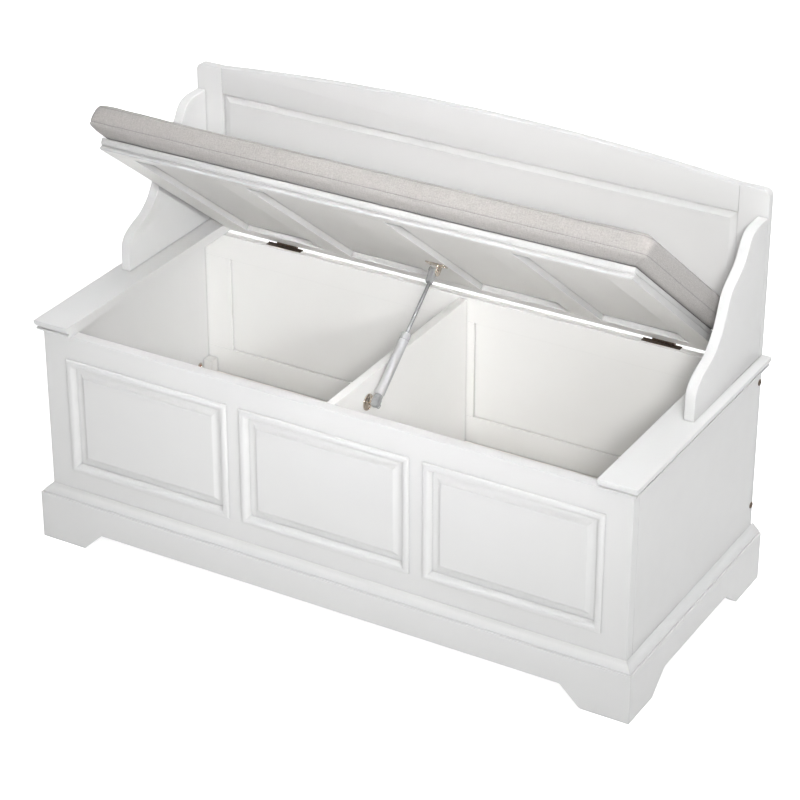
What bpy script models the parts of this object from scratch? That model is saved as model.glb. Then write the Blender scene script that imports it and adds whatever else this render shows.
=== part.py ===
"""Storage bench with a hinged, cushioned lid and a panelled backrest. Metres, +Z up, front towards -Y."""
import math

import bmesh
import bpy
import numpy as np

for old in list(bpy.data.objects):
    bpy.data.objects.remove(old, do_unlink=True)

# Fits between pieces
GAP = 0.0003
PIN_CLEARANCE = 0.0002
LID_END_CLEARANCE = 0.006

# Plinth with bracket feet
PLINTH_LENGTH = 1.100
PLINTH_DEPTH = 0.485
PLINTH_BOARD = 0.016
PLINTH_FACE = 0.086
PLINTH_BEAD = 0.004
PLINTH_COVE = 0.013
FOOT_CUT_HEIGHT = 0.034
FOOT_FRONT_WIDTH = 0.085
FOOT_FRONT_SLOPE = 0.0355
FOOT_SIDE_FRONT_WIDTH = 0.083
FOOT_SIDE_REAR_WIDTH = 0.086
FOOT_SIDE_SLOPE = 0.042

# Case
CASE_BOTTOM = 0.040
RIM_HEIGHT = 0.390
CASE_REAR_INSET = 0.006
FRONT_FRAME = 0.020
SIDE_BOARD = 0.016
BACK_FRAME = 0.015
BACK_RAIL_TOP = 0.044
BACK_RAIL_BOTTOM_TOP = 0.166
BACK_STILE = 0.051
BACK_STILE_CENTRE = 0.043
BACK_PANEL = 0.006
FLOOR_TOP = 0.117
FLOOR_BOARD = 0.012
CLEAT = 0.018
DIVIDER_BOARD = 0.015
DIVIDER_DROP = 0.003
CORNER_BLOCK_WIDTH = 0.018
CORNER_BLOCK_HEIGHT = 0.026

# Three panels of the front
FRONT_STILE = 0.0441
FRONT_MUNTIN = 0.024
MOULDING_BOTTOM = 0.138
MOULDING_TOP = 0.347
MOULDING_WIDTH = 0.014
MOULDING_LAP = 0.006
MOULDING_PROUD = 0.006
PANEL_BORDER_DEPTH = 0.007
PANEL_FIELD_DEPTH = 0.001
PANEL_BEVEL = 0.015
PANEL_BOARD = 0.014

# Caps on the case's ends
CAP_THICKNESS = 0.019
CAP_WIDTH = 0.067
CAP_OVERHANG = 0.011
CAP_REAR_OVERHANG = 0.0045
EDGE_FOOT_INSET = 0.007

# Backrest
BACKREST_END_INSET = 0.016
BACKREST_BOARD = 0.0155
BACKREST_POST_TOP = 0.698
BACKREST_ARCH_RISE = 0.024
POST_WIDTH = 0.051
POST_CORNER = 0.012
BACKREST_RAIL_UNDERSIDE = 0.651
BACKREST_GAP = 0.030
BACKREST_BOTTOM_RAIL = 0.050
BACKREST_BORDER_DEPTH = 0.007
BACKREST_FIELD_DEPTH = 0.002
BACKREST_BEVEL = 0.012
BACKREST_PANEL_BACK = 0.012

# Side wings
WING_BOARD = 0.0175
WING_DEPTH = 0.242
WING_HEIGHT = 0.243

# Lid
LID_OPEN = math.radians(38.4)
LID_PANEL = 0.0081
LID_FRONT_RAIL = 0.025
LID_REAR_RAIL = 0.040
LID_END_RAIL = 0.053
LID_BATTEN = 0.055
LID_BATTEN_CENTRE = 0.084
LID_REAR_ROUND = 0.0075

# Cushion
CUSHION_END_CLEARANCE = 0.0190
CUSHION_FRONT_OVERHANG = 0.025
CUSHION_REAR_SETBACK = 0.076
CUSHION_SEAM_HEIGHT = 0.021
CUSHION_CROWN = 0.027
CUSHION_CORNER = 0.022

# Back-flap hinges
HINGE_LENGTH = 0.070
HINGE_BARREL = 0.040
HINGE_END_INSET = 0.0775
HINGE_OFFSET = 0.006
HINGE_LEAF = 0.0013
HINGE_BOX_LEAF_HEIGHT = 0.017
HINGE_LID_LEAF_HEIGHT = 0.0105
HINGE_TONGUE = 0.0013
HINGE_KNUCKLE_RADIUS = 0.0038
HINGE_PIN_RADIUS = 0.0016

# Gas strut
STRUT_X = 0.021
STRUT_LOW_REACH = 0.346
STRUT_LOW_DROP = 0.045
STRUT_TOP_REACH = 0.190
STRUT_TOP_DROP = 0.0117
STRUT_CYLINDER_RADIUS = 0.0083
STRUT_ROD_RADIUS = 0.0032
STRUT_CYLINDER_START = 0.0165
STRUT_CYLINDER_LENGTH = 0.112
STRUT_SOCKET_WIDTH = 0.011
STRUT_SOCKET_THICKNESS = 0.009
STRUT_SOCKET_LENGTH = 0.022
STRUT_BRACKET_RADIUS = 0.014
STRUT_BRACKET_PLATE = 0.002
STRUT_STUD_RADIUS = 0.004
STRUT_ROD_INSERT = 0.012
STRUT_BORE_FLOOR = 0.010

# Case bolts
BOLT_HEAD_RADIUS = 0.0055
BOLT_HEAD_HEIGHT = 0.0015
BOLT_SHANK_RADIUS = 0.003
BOLT_LENGTH = 0.034

# Lines of the object that follow from the sizes above
HALF = PLINTH_LENGTH / 2
FRONT_Y = -(PLINTH_DEPTH + CAP_REAR_OVERHANG) / 2
PLINTH_REAR_Y = FRONT_Y + PLINTH_DEPTH
REAR_Y = PLINTH_REAR_Y + CAP_REAR_OVERHANG
CASE_FRONT_Y = FRONT_Y + PLINTH_BOARD
CASE_REAR_Y = PLINTH_REAR_Y - CASE_REAR_INSET
CASE_HALF = HALF - PLINTH_BOARD
INNER_HALF = CASE_HALF - SIDE_BOARD - GAP
INNER_FRONT_Y = CASE_FRONT_Y + FRONT_FRAME + GAP
INNER_REAR_Y = CASE_REAR_Y - BACK_FRAME
CAP_TOP = RIM_HEIGHT + CAP_THICKNESS
CAP_HALF = CASE_HALF + CAP_OVERHANG
CAP_INNER = CAP_HALF - CAP_WIDTH
CAP_FRONT_Y = CASE_FRONT_Y - CAP_OVERHANG
POST_HALF = CAP_HALF - BACKREST_END_INSET
POST_INNER = POST_HALF - POST_WIDTH
POST_FRONT_Y = REAR_Y - BACKREST_BOARD
AXIS_Y = CASE_REAR_Y + HINGE_OFFSET
AXIS_Z = RIM_HEIGHT + GAP / 2
LID_HALF = min(CAP_INNER, POST_INNER) - LID_END_CLEARANCE
LID_UNDER = RIM_HEIGHT + GAP
RAIL_TOP = CAP_TOP - LID_PANEL - GAP
MOULDING_LENGTH = (2 * (CASE_HALF - FRONT_STILE) - 2 * FRONT_MUNTIN) / 3
PANEL_PITCH = MOULDING_LENGTH + FRONT_MUNTIN
HINGE_MIDDLE = LID_HALF - HINGE_END_INSET - HINGE_LENGTH / 2
BATTEN_MIDDLE = LID_HALF / 2
CUSHION_HALF = POST_HALF - WING_BOARD - CUSHION_END_CLEARANCE


# Looks: colour, roughness, metallic
LOOKS = {
    "paint": ((0.86, 0.86, 0.85, 1.0), 0.45, 0.0),
    "inside": ((0.84, 0.84, 0.81, 1.0), 0.5, 0.0),
    "linen": ((0.61, 0.58, 0.55, 1.0), 0.9, 0.0),
    "bronze": ((0.16, 0.11, 0.08, 1.0), 0.4, 1.0),
    "nickel": ((0.62, 0.55, 0.48, 1.0), 0.25, 1.0),
    "silver": ((0.74, 0.74, 0.75, 1.0), 0.35, 0.6),
    "steel": ((0.45, 0.46, 0.47, 1.0), 0.25, 1.0),
    "nylon": ((0.28, 0.29, 0.30, 1.0), 0.5, 0.0),
}


def solid(name, verts, faces, look, origin=(0.0, 0.0, 0.0), turn=0.0, smooth=False):
    """A closed body from points given with the part at its untilted place; turn tilts it about X at its origin."""
    mesh = bpy.data.meshes.new(name)
    local = np.asarray(verts, float) - np.asarray(origin, float)
    mesh.from_pydata(local.tolist(), [], [list(face) for face in faces])
    work = bmesh.new()
    work.from_mesh(mesh)
    bmesh.ops.recalc_face_normals(work, faces=work.faces)
    work.to_mesh(mesh)
    work.free()
    mesh.polygons.foreach_set("use_smooth", [smooth] * len(mesh.polygons))
    obj = bpy.data.objects.new(name, mesh)
    obj.location = origin
    obj.rotation_euler = (turn, 0.0, 0.0)
    bpy.context.scene.collection.objects.link(obj)
    colour, rough, metal = LOOKS[look]
    material = bpy.data.materials.new(name)
    material.use_nodes = True
    shader = material.node_tree.nodes["Principled BSDF"]
    shader.inputs["Base Color"].default_value = colour
    shader.inputs["Roughness"].default_value = rough
    shader.inputs["Metallic"].default_value = metal
    mesh.materials.append(material)
    return obj


def loft(rings):
    """Points and faces of a body whose cross-section passes through the rings, closed by its first and last."""
    count = len(rings[0])
    verts = [point for ring in rings for point in ring]
    faces = [list(range(count))]
    for level in range(len(rings) - 1):
        low, high = level * count, (level + 1) * count
        for k in range(count):
            after = (k + 1) % count
            faces.append([low + k, low + after, high + after, high + k])
    faces.append(list(range(len(verts) - count, len(verts))))
    return verts, faces


def box_shape(x0, x1, y0, y1, z0, z1):
    def ring(z):
        return [(x0, y0, z), (x1, y0, z), (x1, y1, z), (x0, y1, z)]

    return loft([ring(z0), ring(z1)])


def box(name, x0, x1, y0, y1, z0, z1, look="paint", origin=(0.0, 0.0, 0.0), turn=0.0):
    return solid(name, *box_shape(x0, x1, y0, y1, z0, z1), look, origin, turn)


def tube_ring(centre, radius, x, count):
    """Points of a circle about the X direction."""
    angles = [2 * math.pi * k / count for k in range(count)]
    return [(x, centre[0] + radius * math.cos(a), centre[1] + radius * math.sin(a)) for a in angles]


def cutter(target, verts, faces, operation="DIFFERENCE"):
    """A hidden helper that cuts from the target or joins it."""
    helper = solid(f"{target.name}_tool_{len(target.modifiers)}", verts, faces, "paint")
    helper.hide_render = True
    helper.display_type = "WIRE"
    helper.parent = target.parent
    helper.location = target.location
    helper.rotation_euler = target.rotation_euler
    shift = np.array(target.location)
    for vert in helper.data.vertices:
        vert.co = (np.array(vert.co) - shift).tolist()
    step = target.modifiers.new(helper.name, "BOOLEAN")
    step.operation = operation
    step.solver = "EXACT"
    step.object = helper


# Plinth boards: a flat face, a bead and a cove that dies into the case
def plinth_profile():
    """Offset from the face and height, going up the face and down the back."""
    bead_top = PLINTH_FACE + PLINTH_BEAD
    bead = [(0.0, 0.0), (0.0, PLINTH_FACE), (0.0008, PLINTH_FACE + 0.5 * PLINTH_BEAD), (0.0025, bead_top)]
    reach = PLINTH_BOARD - GAP - 0.0035
    cove = []
    for step in range(6):
        t = 0.5 * math.pi * step / 5
        cove.append((0.0035 + reach * math.sin(t), bead_top + PLINTH_COVE * (1 - math.cos(t))))
    return bead + cove + [(PLINTH_BOARD - GAP, 0.0)]


front_rings = []
for sign in (-1, 1):
    front_rings.append([(sign * (HALF - o), FRONT_Y + o, z) for o, z in plinth_profile()])
plinth_front = solid("plinth_front", *loft(front_rings), "paint")
low_x = HALF - FOOT_FRONT_WIDTH
high_x = low_x - FOOT_FRONT_SLOPE
notch = []
for y in (FRONT_Y - 0.01, CASE_FRONT_Y + 0.01):
    slope = FOOT_FRONT_SLOPE / FOOT_CUT_HEIGHT
    drop = 0.01
    wide = low_x + slope * drop
    notch.append([(-wide, y, -drop), (wide, y, -drop), (high_x, y, FOOT_CUT_HEIGHT), (-high_x, y, FOOT_CUT_HEIGHT)])
cutter(plinth_front, *loft(notch))

for side, sign in (("left", -1), ("right", 1)):
    rings = [
        [(sign * (HALF - o), FRONT_Y + o + 1.5 * GAP, z) for o, z in plinth_profile()],
        [(sign * (HALF - o), PLINTH_REAR_Y, z) for o, z in plinth_profile()],
    ]
    board = solid(f"plinth_{side}", *loft(rings), "paint")
    slope = FOOT_SIDE_SLOPE / FOOT_CUT_HEIGHT
    y0 = FRONT_Y + FOOT_SIDE_FRONT_WIDTH
    y1 = PLINTH_REAR_Y - FOOT_SIDE_REAR_WIDTH
    drop = 0.01
    notch = []
    for x in (sign * (HALF + 0.01), sign * (CASE_HALF - 0.01)):
        foot = [(x, y0 - slope * drop, -drop), (x, y1 + slope * drop, -drop)]
        notch.append(foot + [(x, y1 - FOOT_SIDE_SLOPE, FOOT_CUT_HEIGHT), (x, y0 + FOOT_SIDE_SLOPE, FOOT_CUT_HEIGHT)])
    cutter(board, *loft(notch))

# Front frame with three framed panels
frame = box("front_frame", -CASE_HALF, CASE_HALF, CASE_FRONT_Y, CASE_FRONT_Y + FRONT_FRAME, CASE_BOTTOM, RIM_HEIGHT)
open_z = (MOULDING_BOTTOM + MOULDING_LAP, MOULDING_TOP - MOULDING_LAP)
open_half = MOULDING_LENGTH / 2 - MOULDING_LAP


def framed_panel(x0, x1, z0, z1, face_y, depths, bevel_start, bevel):
    """A fielded panel: back, edge, border, then a bevel up to the field. Depths are behind the face."""
    back, border, field = depths

    def ring(inset, depth):
        y = face_y + depth
        a, b, c, d = x0 + inset, x1 - inset, z0 + inset, z1 - inset
        return [(a, y, c), (b, y, c), (b, y, d), (a, y, d)]

    levels = ((0.0, back), (0.0, border), (bevel_start, border), (bevel_start + bevel, field))
    return loft([ring(*level) for level in levels])


def moulding(x0, x1, z0, z1, face_y):
    """A mitred ring of bolection moulding that laps the frame and reaches in to the panel's border."""
    lap = MOULDING_LAP + GAP
    reach = GAP - PANEL_BORDER_DEPTH
    proud = MOULDING_PROUD
    w = MOULDING_WIDTH
    profile = [(0.0, GAP), (0.0, 0.4 * proud), (0.10 * w, 0.75 * proud), (0.28 * w, proud), (0.50 * w, 0.95 * proud)]
    profile += [(0.72 * w, 0.60 * proud), (0.86 * w, 0.15 * proud), (w, -0.30 * proud), (w, reach), (lap, reach), (lap, GAP)]
    verts = []
    for a, b in ((-1, -1), (1, -1), (1, 1), (-1, 1)):
        for inset, out in profile:
            x = x0 + inset if a < 0 else x1 - inset
            z = z0 + inset if b < 0 else z1 - inset
            verts.append((x, face_y - out, z))
    count = len(profile)
    faces = []
    for corner in range(4):
        here, there = corner * count, (corner + 1) % 4 * count
        for k in range(count):
            after = (k + 1) % count
            faces.append([here + k, here + after, there + after, there + k])
    return verts, faces


for place, column in (("left", -1), ("centre", 0), ("right", 1)):
    middle = column * PANEL_PITCH
    opening = box_shape(
        middle - open_half, middle + open_half, CASE_FRONT_Y - 0.01, CASE_FRONT_Y + FRONT_FRAME + 0.01, *open_z
    )
    cutter(frame, *opening)
    fit = open_half - GAP
    depths = (PANEL_BOARD, PANEL_BORDER_DEPTH, PANEL_FIELD_DEPTH)
    start = MOULDING_WIDTH - MOULDING_LAP + 0.0015
    shape = framed_panel(
        middle - fit, middle + fit, open_z[0] + GAP, open_z[1] - GAP, CASE_FRONT_Y, depths, start, PANEL_BEVEL
    )
    solid(f"front_panel_{place}", *shape, "paint")
    half_moulding = MOULDING_LENGTH / 2
    ring = moulding(middle - half_moulding, middle + half_moulding, MOULDING_BOTTOM, MOULDING_TOP, CASE_FRONT_Y)
    solid(f"panel_moulding_{place}", *ring, "paint")

# Sides, with a hole for each case bolt
BOLT_Y = CASE_REAR_Y - BACK_FRAME / 2
BOLT_HEIGHTS = {"upper": RIM_HEIGHT - BACK_RAIL_TOP / 2, "lower": (FLOOR_TOP + BACK_RAIL_BOTTOM_TOP) / 2}


def bolt_hole(sign, z):
    radius = BOLT_SHANK_RADIUS + PIN_CLEARANCE
    start, end = sign * (CASE_HALF + 0.01), sign * (CASE_HALF - BOLT_LENGTH - 0.001)
    return loft([tube_ring((BOLT_Y, z), radius, start, 20), tube_ring((BOLT_Y, z), radius, end, 20)])


sides = {}
for side, sign in (("left", -1), ("right", 1)):
    x0, x1 = sorted((sign * CASE_HALF, sign * (CASE_HALF - SIDE_BOARD)))
    sides[sign] = box(f"side_panel_{side}", x0, x1, INNER_FRONT_Y, CASE_REAR_Y, CASE_BOTTOM, RIM_HEIGHT)

# Back of the case: rails through, stiles between, thin panels in the openings
back_y = (INNER_REAR_Y, CASE_REAR_Y)
rail_low = RIM_HEIGHT - BACK_RAIL_TOP
top_rail = box("back_top_rail", -INNER_HALF, INNER_HALF, *back_y, rail_low, RIM_HEIGHT, "inside")
low_rail = box("back_bottom_rail", -INNER_HALF, INNER_HALF, *back_y, CASE_BOTTOM, BACK_RAIL_BOTTOM_TOP, "inside")
stile_z = (BACK_RAIL_BOTTOM_TOP + GAP, rail_low - GAP)
stile_x = INNER_HALF - BACK_STILE
half_centre = BACK_STILE_CENTRE / 2
box("back_stile_left", -INNER_HALF, -stile_x, *back_y, *stile_z, "inside")
box("back_stile_centre", -half_centre, half_centre, *back_y, *stile_z, "inside")
box("back_stile_right", stile_x, INNER_HALF, *back_y, *stile_z, "inside")
sheet_y = (CASE_REAR_Y - BACK_FRAME / 2 - BACK_PANEL / 2, CASE_REAR_Y - BACK_FRAME / 2 + BACK_PANEL / 2)
box("back_panel_left", -stile_x + GAP, -half_centre - GAP, *sheet_y, *stile_z, "inside")
box("back_panel_right", half_centre + GAP, stile_x - GAP, *sheet_y, *stile_z, "inside")

for side, sign in (("left", -1), ("right", 1)):
    for level, height in BOLT_HEIGHTS.items():
        hole = bolt_hole(sign, height)
        cutter(sides[sign], *hole)
        cutter(top_rail if level == "upper" else low_rail, *hole)
        face = sign * (CASE_HALF + GAP)
        place = (BOLT_Y, height)
        rings = [
            tube_ring(place, BOLT_HEAD_RADIUS - 0.0008, face + sign * BOLT_HEAD_HEIGHT, 20),
            tube_ring(place, BOLT_HEAD_RADIUS, face + sign * 0.5 * BOLT_HEAD_HEIGHT, 20),
            tube_ring(place, BOLT_HEAD_RADIUS, face, 20),
            tube_ring(place, BOLT_SHANK_RADIUS, face, 20),
            tube_ring(place, BOLT_SHANK_RADIUS, sign * (CASE_HALF - BOLT_LENGTH), 20),
        ]
        solid(f"case_bolt_{side}_{level}", *loft(rings), "bronze")

# Floor boards on cleats, and the divider between them
cleat_z = (FLOOR_TOP - FLOOR_BOARD - GAP - CLEAT, FLOOR_TOP - FLOOR_BOARD - GAP)
box("floor_cleat_front", -INNER_HALF, INNER_HALF, INNER_FRONT_Y, INNER_FRONT_Y + CLEAT, *cleat_z, "inside")
box("floor_cleat_rear", -INNER_HALF, INNER_HALF, INNER_REAR_Y - GAP - CLEAT, INNER_REAR_Y - GAP, *cleat_z, "inside")
half_divider = DIVIDER_BOARD / 2
floor_y = (INNER_FRONT_Y, INNER_REAR_Y - GAP)
floor_z = (FLOOR_TOP - FLOOR_BOARD, FLOOR_TOP)
box("floor_left", -INNER_HALF, -half_divider - GAP, *floor_y, *floor_z, "inside")
box("floor_right", half_divider + GAP, INNER_HALF, *floor_y, *floor_z, "inside")
box("divider", -half_divider, half_divider, *floor_y, floor_z[0], RIM_HEIGHT - DIVIDER_DROP, "inside")
for side, sign in (("left", -1), ("right", 1)):
    x0, x1 = sorted((sign * INNER_HALF, sign * (INNER_HALF - CORNER_BLOCK_WIDTH)))
    block_z = (FLOOR_TOP + GAP, FLOOR_TOP + GAP + CORNER_BLOCK_HEIGHT)
    box(f"corner_block_{side}", x0, x1, floor_y[1] - CORNER_BLOCK_WIDTH, floor_y[1], *block_z, "inside")


# Moulded edge shared by the caps and the lid: inset and depth below the top
def moulded_edge(depth):
    upper = [(0.0035, 0.0), (0.001, 0.0012), (0.0, 0.0034), (0.0, 0.0052), (0.0012, 0.0071), (0.0032, LID_PANEL)]
    foot = EDGE_FOOT_INSET
    lower = [(0.62 * foot, LID_PANEL + GAP), (0.54 * foot, 0.55 * depth), (0.58 * foot, 0.66 * depth)]
    return upper, lower + [(0.78 * foot, 0.88 * depth), (foot, depth)]


for side, sign in (("left", -1), ("right", 1)):
    upper, lower = moulded_edge(CAP_THICKNESS - GAP)
    rings = []
    for inset, depth in upper + lower:
        outer, inner = sign * (CAP_HALF - inset), sign * CAP_INNER
        y, z = CAP_FRONT_Y + inset, CAP_TOP - depth
        rings.append([(inner, y, z), (outer, y, z), (outer, REAR_Y, z), (inner, REAR_Y, z)])
    solid(f"cap_{side}", *loft(rings), "paint")


# Wings: an S-shaped board on each cap, from a foot up to the post
def wing_outline():
    """Front edge as a smooth curve through knots of depth share, height share and direction in degrees."""
    knots = [(0.0, 0.0, 90), (0.0, 0.150, 90), (0.175, 0.312, 19), (0.440, 0.620, 71), (0.560, 0.752, 32)]
    knots += [(0.715, 0.902, 64), (0.880, 1.0, 0), (1.0, 1.0, 0)]
    points = []
    for (y0, z0, a0), (y1, z1, a1) in zip(knots, knots[1:]):
        start = np.array((y0 * WING_DEPTH, z0 * WING_HEIGHT))
        end = np.array((y1 * WING_DEPTH, z1 * WING_HEIGHT))
        pull = np.linalg.norm(end - start) / 2.6
        out = start + pull * np.array((math.cos(math.radians(a0)), math.sin(math.radians(a0))))
        into = end - pull * np.array((math.cos(math.radians(a1)), math.sin(math.radians(a1))))
        steps = 1 if (a0, a1) in ((90, 90), (0, 0)) else 6
        for t in np.arange(steps) / steps:
            points.append((1 - t) ** 3 * start + 3 * t * (1 - t) ** 2 * out + 3 * t * t * (1 - t) * into + t**3 * end)
    return points + [np.array((WING_DEPTH, WING_HEIGHT)), np.array((WING_DEPTH, 0.0))]


for side, sign in (("left", -1), ("right", 1)):
    rings = []
    for x in (sign * POST_HALF, sign * (POST_HALF - WING_BOARD)):
        start_y, base = POST_FRONT_Y - GAP - WING_DEPTH, CAP_TOP + GAP
        rings.append([(x, start_y + y, base + z) for y, z in wing_outline()])
    solid(f"wing_{side}", *loft(rings), "paint")

# Backrest: posts on the caps, arched top rail, bottom rail clear of the lid, fielded panel
for side, sign in (("left", -1), ("right", 1)):
    outline = [(POST_INNER, CAP_TOP + GAP), (POST_HALF, CAP_TOP + GAP)]
    for step in range(7):
        a = 0.5 * math.pi * step / 6
        x = POST_HALF - POST_CORNER * (1 - math.cos(a))
        outline.append((x, BACKREST_POST_TOP - POST_CORNER * (1 - math.sin(a))))
    outline.append((POST_INNER, BACKREST_POST_TOP))
    rings = [[(sign * x, y, z) for x, z in outline] for y in (POST_FRONT_Y, REAR_Y)]
    solid(f"post_{side}", *loft(rings), "paint")

rail_half = POST_INNER - GAP
arch_radius = (rail_half**2 + BACKREST_ARCH_RISE**2) / (2 * BACKREST_ARCH_RISE)
outline = [(-rail_half, BACKREST_RAIL_UNDERSIDE), (rail_half, BACKREST_RAIL_UNDERSIDE)]
for x in np.linspace(rail_half, -rail_half, 33):
    fall = arch_radius - math.sqrt(arch_radius**2 - x * x)
    outline.append((x, BACKREST_POST_TOP + BACKREST_ARCH_RISE - fall))
rings = [[(x, y, z) for x, z in outline] for y in (POST_FRONT_Y, REAR_Y)]
solid("backrest_top_rail", *loft(rings), "paint")
rail_z = (CAP_TOP + BACKREST_GAP, CAP_TOP + BACKREST_GAP + BACKREST_BOTTOM_RAIL)
box("backrest_bottom_rail", -rail_half, rail_half, POST_FRONT_Y, REAR_Y, *rail_z)
depths = (BACKREST_PANEL_BACK, BACKREST_BORDER_DEPTH, BACKREST_FIELD_DEPTH)
shape = framed_panel(
    -rail_half, rail_half, rail_z[1] + GAP, BACKREST_RAIL_UNDERSIDE - GAP, POST_FRONT_Y, depths, 0.001, BACKREST_BEVEL
)
solid("backrest_panel", *shape, "paint")

# Lid, given closed and then tilted open about the hinge axis
AXIS = (0.0, AXIS_Y, AXIS_Z)
TILT = -LID_OPEN
upper, lower = moulded_edge(CAP_TOP - LID_UNDER)


def lid_panel_outline():
    """Depth and height: the moulded nose at the front, a rounded upper rear edge."""
    nose = [(CAP_FRONT_Y + inset, CAP_TOP - depth) for inset, depth in reversed(upper)]
    rear = []
    for step in range(5):
        a = 0.5 * math.pi * (1 - step / 4)
        y = CASE_REAR_Y - LID_REAR_ROUND * (1 - math.cos(a))
        rear.append((y, CAP_TOP - LID_REAR_ROUND * (1 - math.sin(a))))
    return nose + rear + [(CASE_REAR_Y, CAP_TOP - LID_PANEL)]


rings = [[(x, y, z) for y, z in lid_panel_outline()] for x in (-LID_HALF, LID_HALF)]
solid("lid_panel", *loft(rings), "paint", AXIS, TILT)
rail_front = CAP_FRONT_Y + 0.54 * EDGE_FOOT_INSET
rail_back = rail_front + LID_FRONT_RAIL
outline = [(CAP_FRONT_Y + inset, CAP_TOP - depth) for inset, depth in lower]
outline += [(rail_back, LID_UNDER), (rail_back, RAIL_TOP)]
rings = [[(x, y, z) for y, z in outline] for x in (-LID_HALF, LID_HALF)]
solid("lid_front_rail", *loft(rings), "paint", AXIS, TILT)
rear_rail_y = CASE_REAR_Y - LID_REAR_RAIL
box("lid_rear_rail", -LID_HALF, LID_HALF, rear_rail_y, CASE_REAR_Y, LID_UNDER, RAIL_TOP, "paint", AXIS, TILT)
bar_y = (rail_back + GAP, rear_rail_y - GAP)
bars = {
    "lid_end_rail_left": (-LID_HALF, -LID_HALF + LID_END_RAIL),
    "lid_batten_left": (-BATTEN_MIDDLE - LID_BATTEN / 2, -BATTEN_MIDDLE + LID_BATTEN / 2),
    "lid_batten_centre": (-LID_BATTEN_CENTRE / 2, LID_BATTEN_CENTRE / 2),
    "lid_batten_right": (BATTEN_MIDDLE - LID_BATTEN / 2, BATTEN_MIDDLE + LID_BATTEN / 2),
    "lid_end_rail_right": (LID_HALF - LID_END_RAIL, LID_HALF),
}
for name, (x0, x1) in bars.items():
    box(name, x0, x1, *bar_y, LID_UNDER, RAIL_TOP, "paint", AXIS, TILT)


# Cushion: two crowned sheets that meet at the seam, drawn in towards the lid below
def cushion_shape():
    """Sheets over a rounded rectangle; height falls from the crown to the seam as the edge is neared."""
    length, width = 40, 20
    half_x = CUSHION_HALF
    y0 = CAP_FRONT_Y - CUSHION_FRONT_OVERHANG
    y1 = AXIS_Y - CUSHION_REAR_SETBACK
    half_y, mid_y = (y1 - y0) / 2, (y0 + y1) / 2
    u, v = np.meshgrid(np.linspace(-1, 1, length + 1), np.linspace(-1, 1, width + 1), indexing="ij")
    u, v = np.sin(0.5 * math.pi * u), np.sin(0.5 * math.pi * v)
    x, y = u * half_x, v * half_y
    core_x, core_y = half_x - CUSHION_CORNER, half_y - CUSHION_CORNER
    over_x, over_y = np.maximum(np.abs(x) - core_x, 0), np.maximum(np.abs(y) - core_y, 0)
    far = np.maximum(np.hypot(over_x, over_y), 1e-9)
    shrink = np.where((over_x > 0) & (over_y > 0), np.maximum(over_x, over_y) / far, 1.0)
    x = np.sign(x) * (np.minimum(np.abs(x), core_x) + over_x * shrink)
    y = np.sign(y) * (np.minimum(np.abs(y), core_y) + over_y * shrink)
    edge = np.minimum(half_x - np.abs(u * half_x), half_y - np.abs(v * half_y))
    rise = np.clip(1 - (1 - np.clip(edge / 0.030, 0, 1)) ** 2, 0, 1) ** 0.5
    base = CAP_TOP + GAP
    seam = base + CUSHION_SEAM_HEIGHT
    swell = 0.80 + 0.20 * (1 - u**2) * (1 - v**2)
    top = np.stack([x, y + mid_y, seam + CUSHION_CROWN * rise * swell], -1)
    low = np.stack([x, y + mid_y, seam - CUSHION_SEAM_HEIGHT * rise], -1)
    rim = (np.abs(u) > 1 - 1e-9) | (np.abs(v) > 1 - 1e-9)
    number = np.arange(u.size).reshape(u.shape)
    under = np.where(rim, number, u.size + np.cumsum(~rim).reshape(u.shape) - 1)
    verts = np.concatenate([top.reshape(-1, 3), low.reshape(-1, 3)[~rim.ravel()]])
    faces = []
    for grid, flip in ((number, 1), (under, -1)):
        quads = np.stack([grid[:-1, :-1], grid[1:, :-1], grid[1:, 1:], grid[:-1, 1:]], -1).reshape(-1, 4)
        faces.append(quads[:, ::flip])
    return verts, np.concatenate(faces).tolist()


solid("cushion", *cushion_shape(), "linen", AXIS, TILT, smooth=True)


# Back-flap hinges: a leaf on the rear of the back's top rail, a leaf on the rear of the lid, and a pin
def knuckle(x0, x1):
    """A short barrel about the hinge axis, bored for the pin."""
    outer = [tube_ring((AXIS_Y, AXIS_Z), HINGE_KNUCKLE_RADIUS, x, 24) for x in (x0, x1)]
    bore = HINGE_PIN_RADIUS + PIN_CLEARANCE
    inner = [tube_ring((AXIS_Y, AXIS_Z), bore, x, 24) for x in (x1, x0)]
    rings = [outer[0], outer[1], inner[0], inner[1]]
    verts = [point for ring in rings for point in ring]
    faces = []
    for level in range(4):
        low, high = level * 24, (level + 1) % 4 * 24
        for k in range(24):
            after = (k + 1) % 24
            faces.append([low + k, low + after, high + after, high + k])
    return verts, faces


leaf_y = (CASE_REAR_Y + GAP, CASE_REAR_Y + GAP + HINGE_LEAF)
leaf_rear = AXIS_Y - 0.5 * (HINGE_KNUCKLE_RADIUS + HINGE_PIN_RADIUS + PIN_CLEARANCE)
box_leaf_z = (RIM_HEIGHT - HINGE_BOX_LEAF_HEIGHT, AXIS_Z + HINGE_TONGUE)
lid_leaf_z = (AXIS_Z + HINGE_TONGUE + GAP, AXIS_Z + HINGE_LID_LEAF_HEIGHT)
box_tongue_z = (AXIS_Z - HINGE_TONGUE, AXIS_Z + HINGE_TONGUE)
lid_tongue_z = (lid_leaf_z[0], lid_leaf_z[0] + 0.9 * HINGE_TONGUE)


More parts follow.
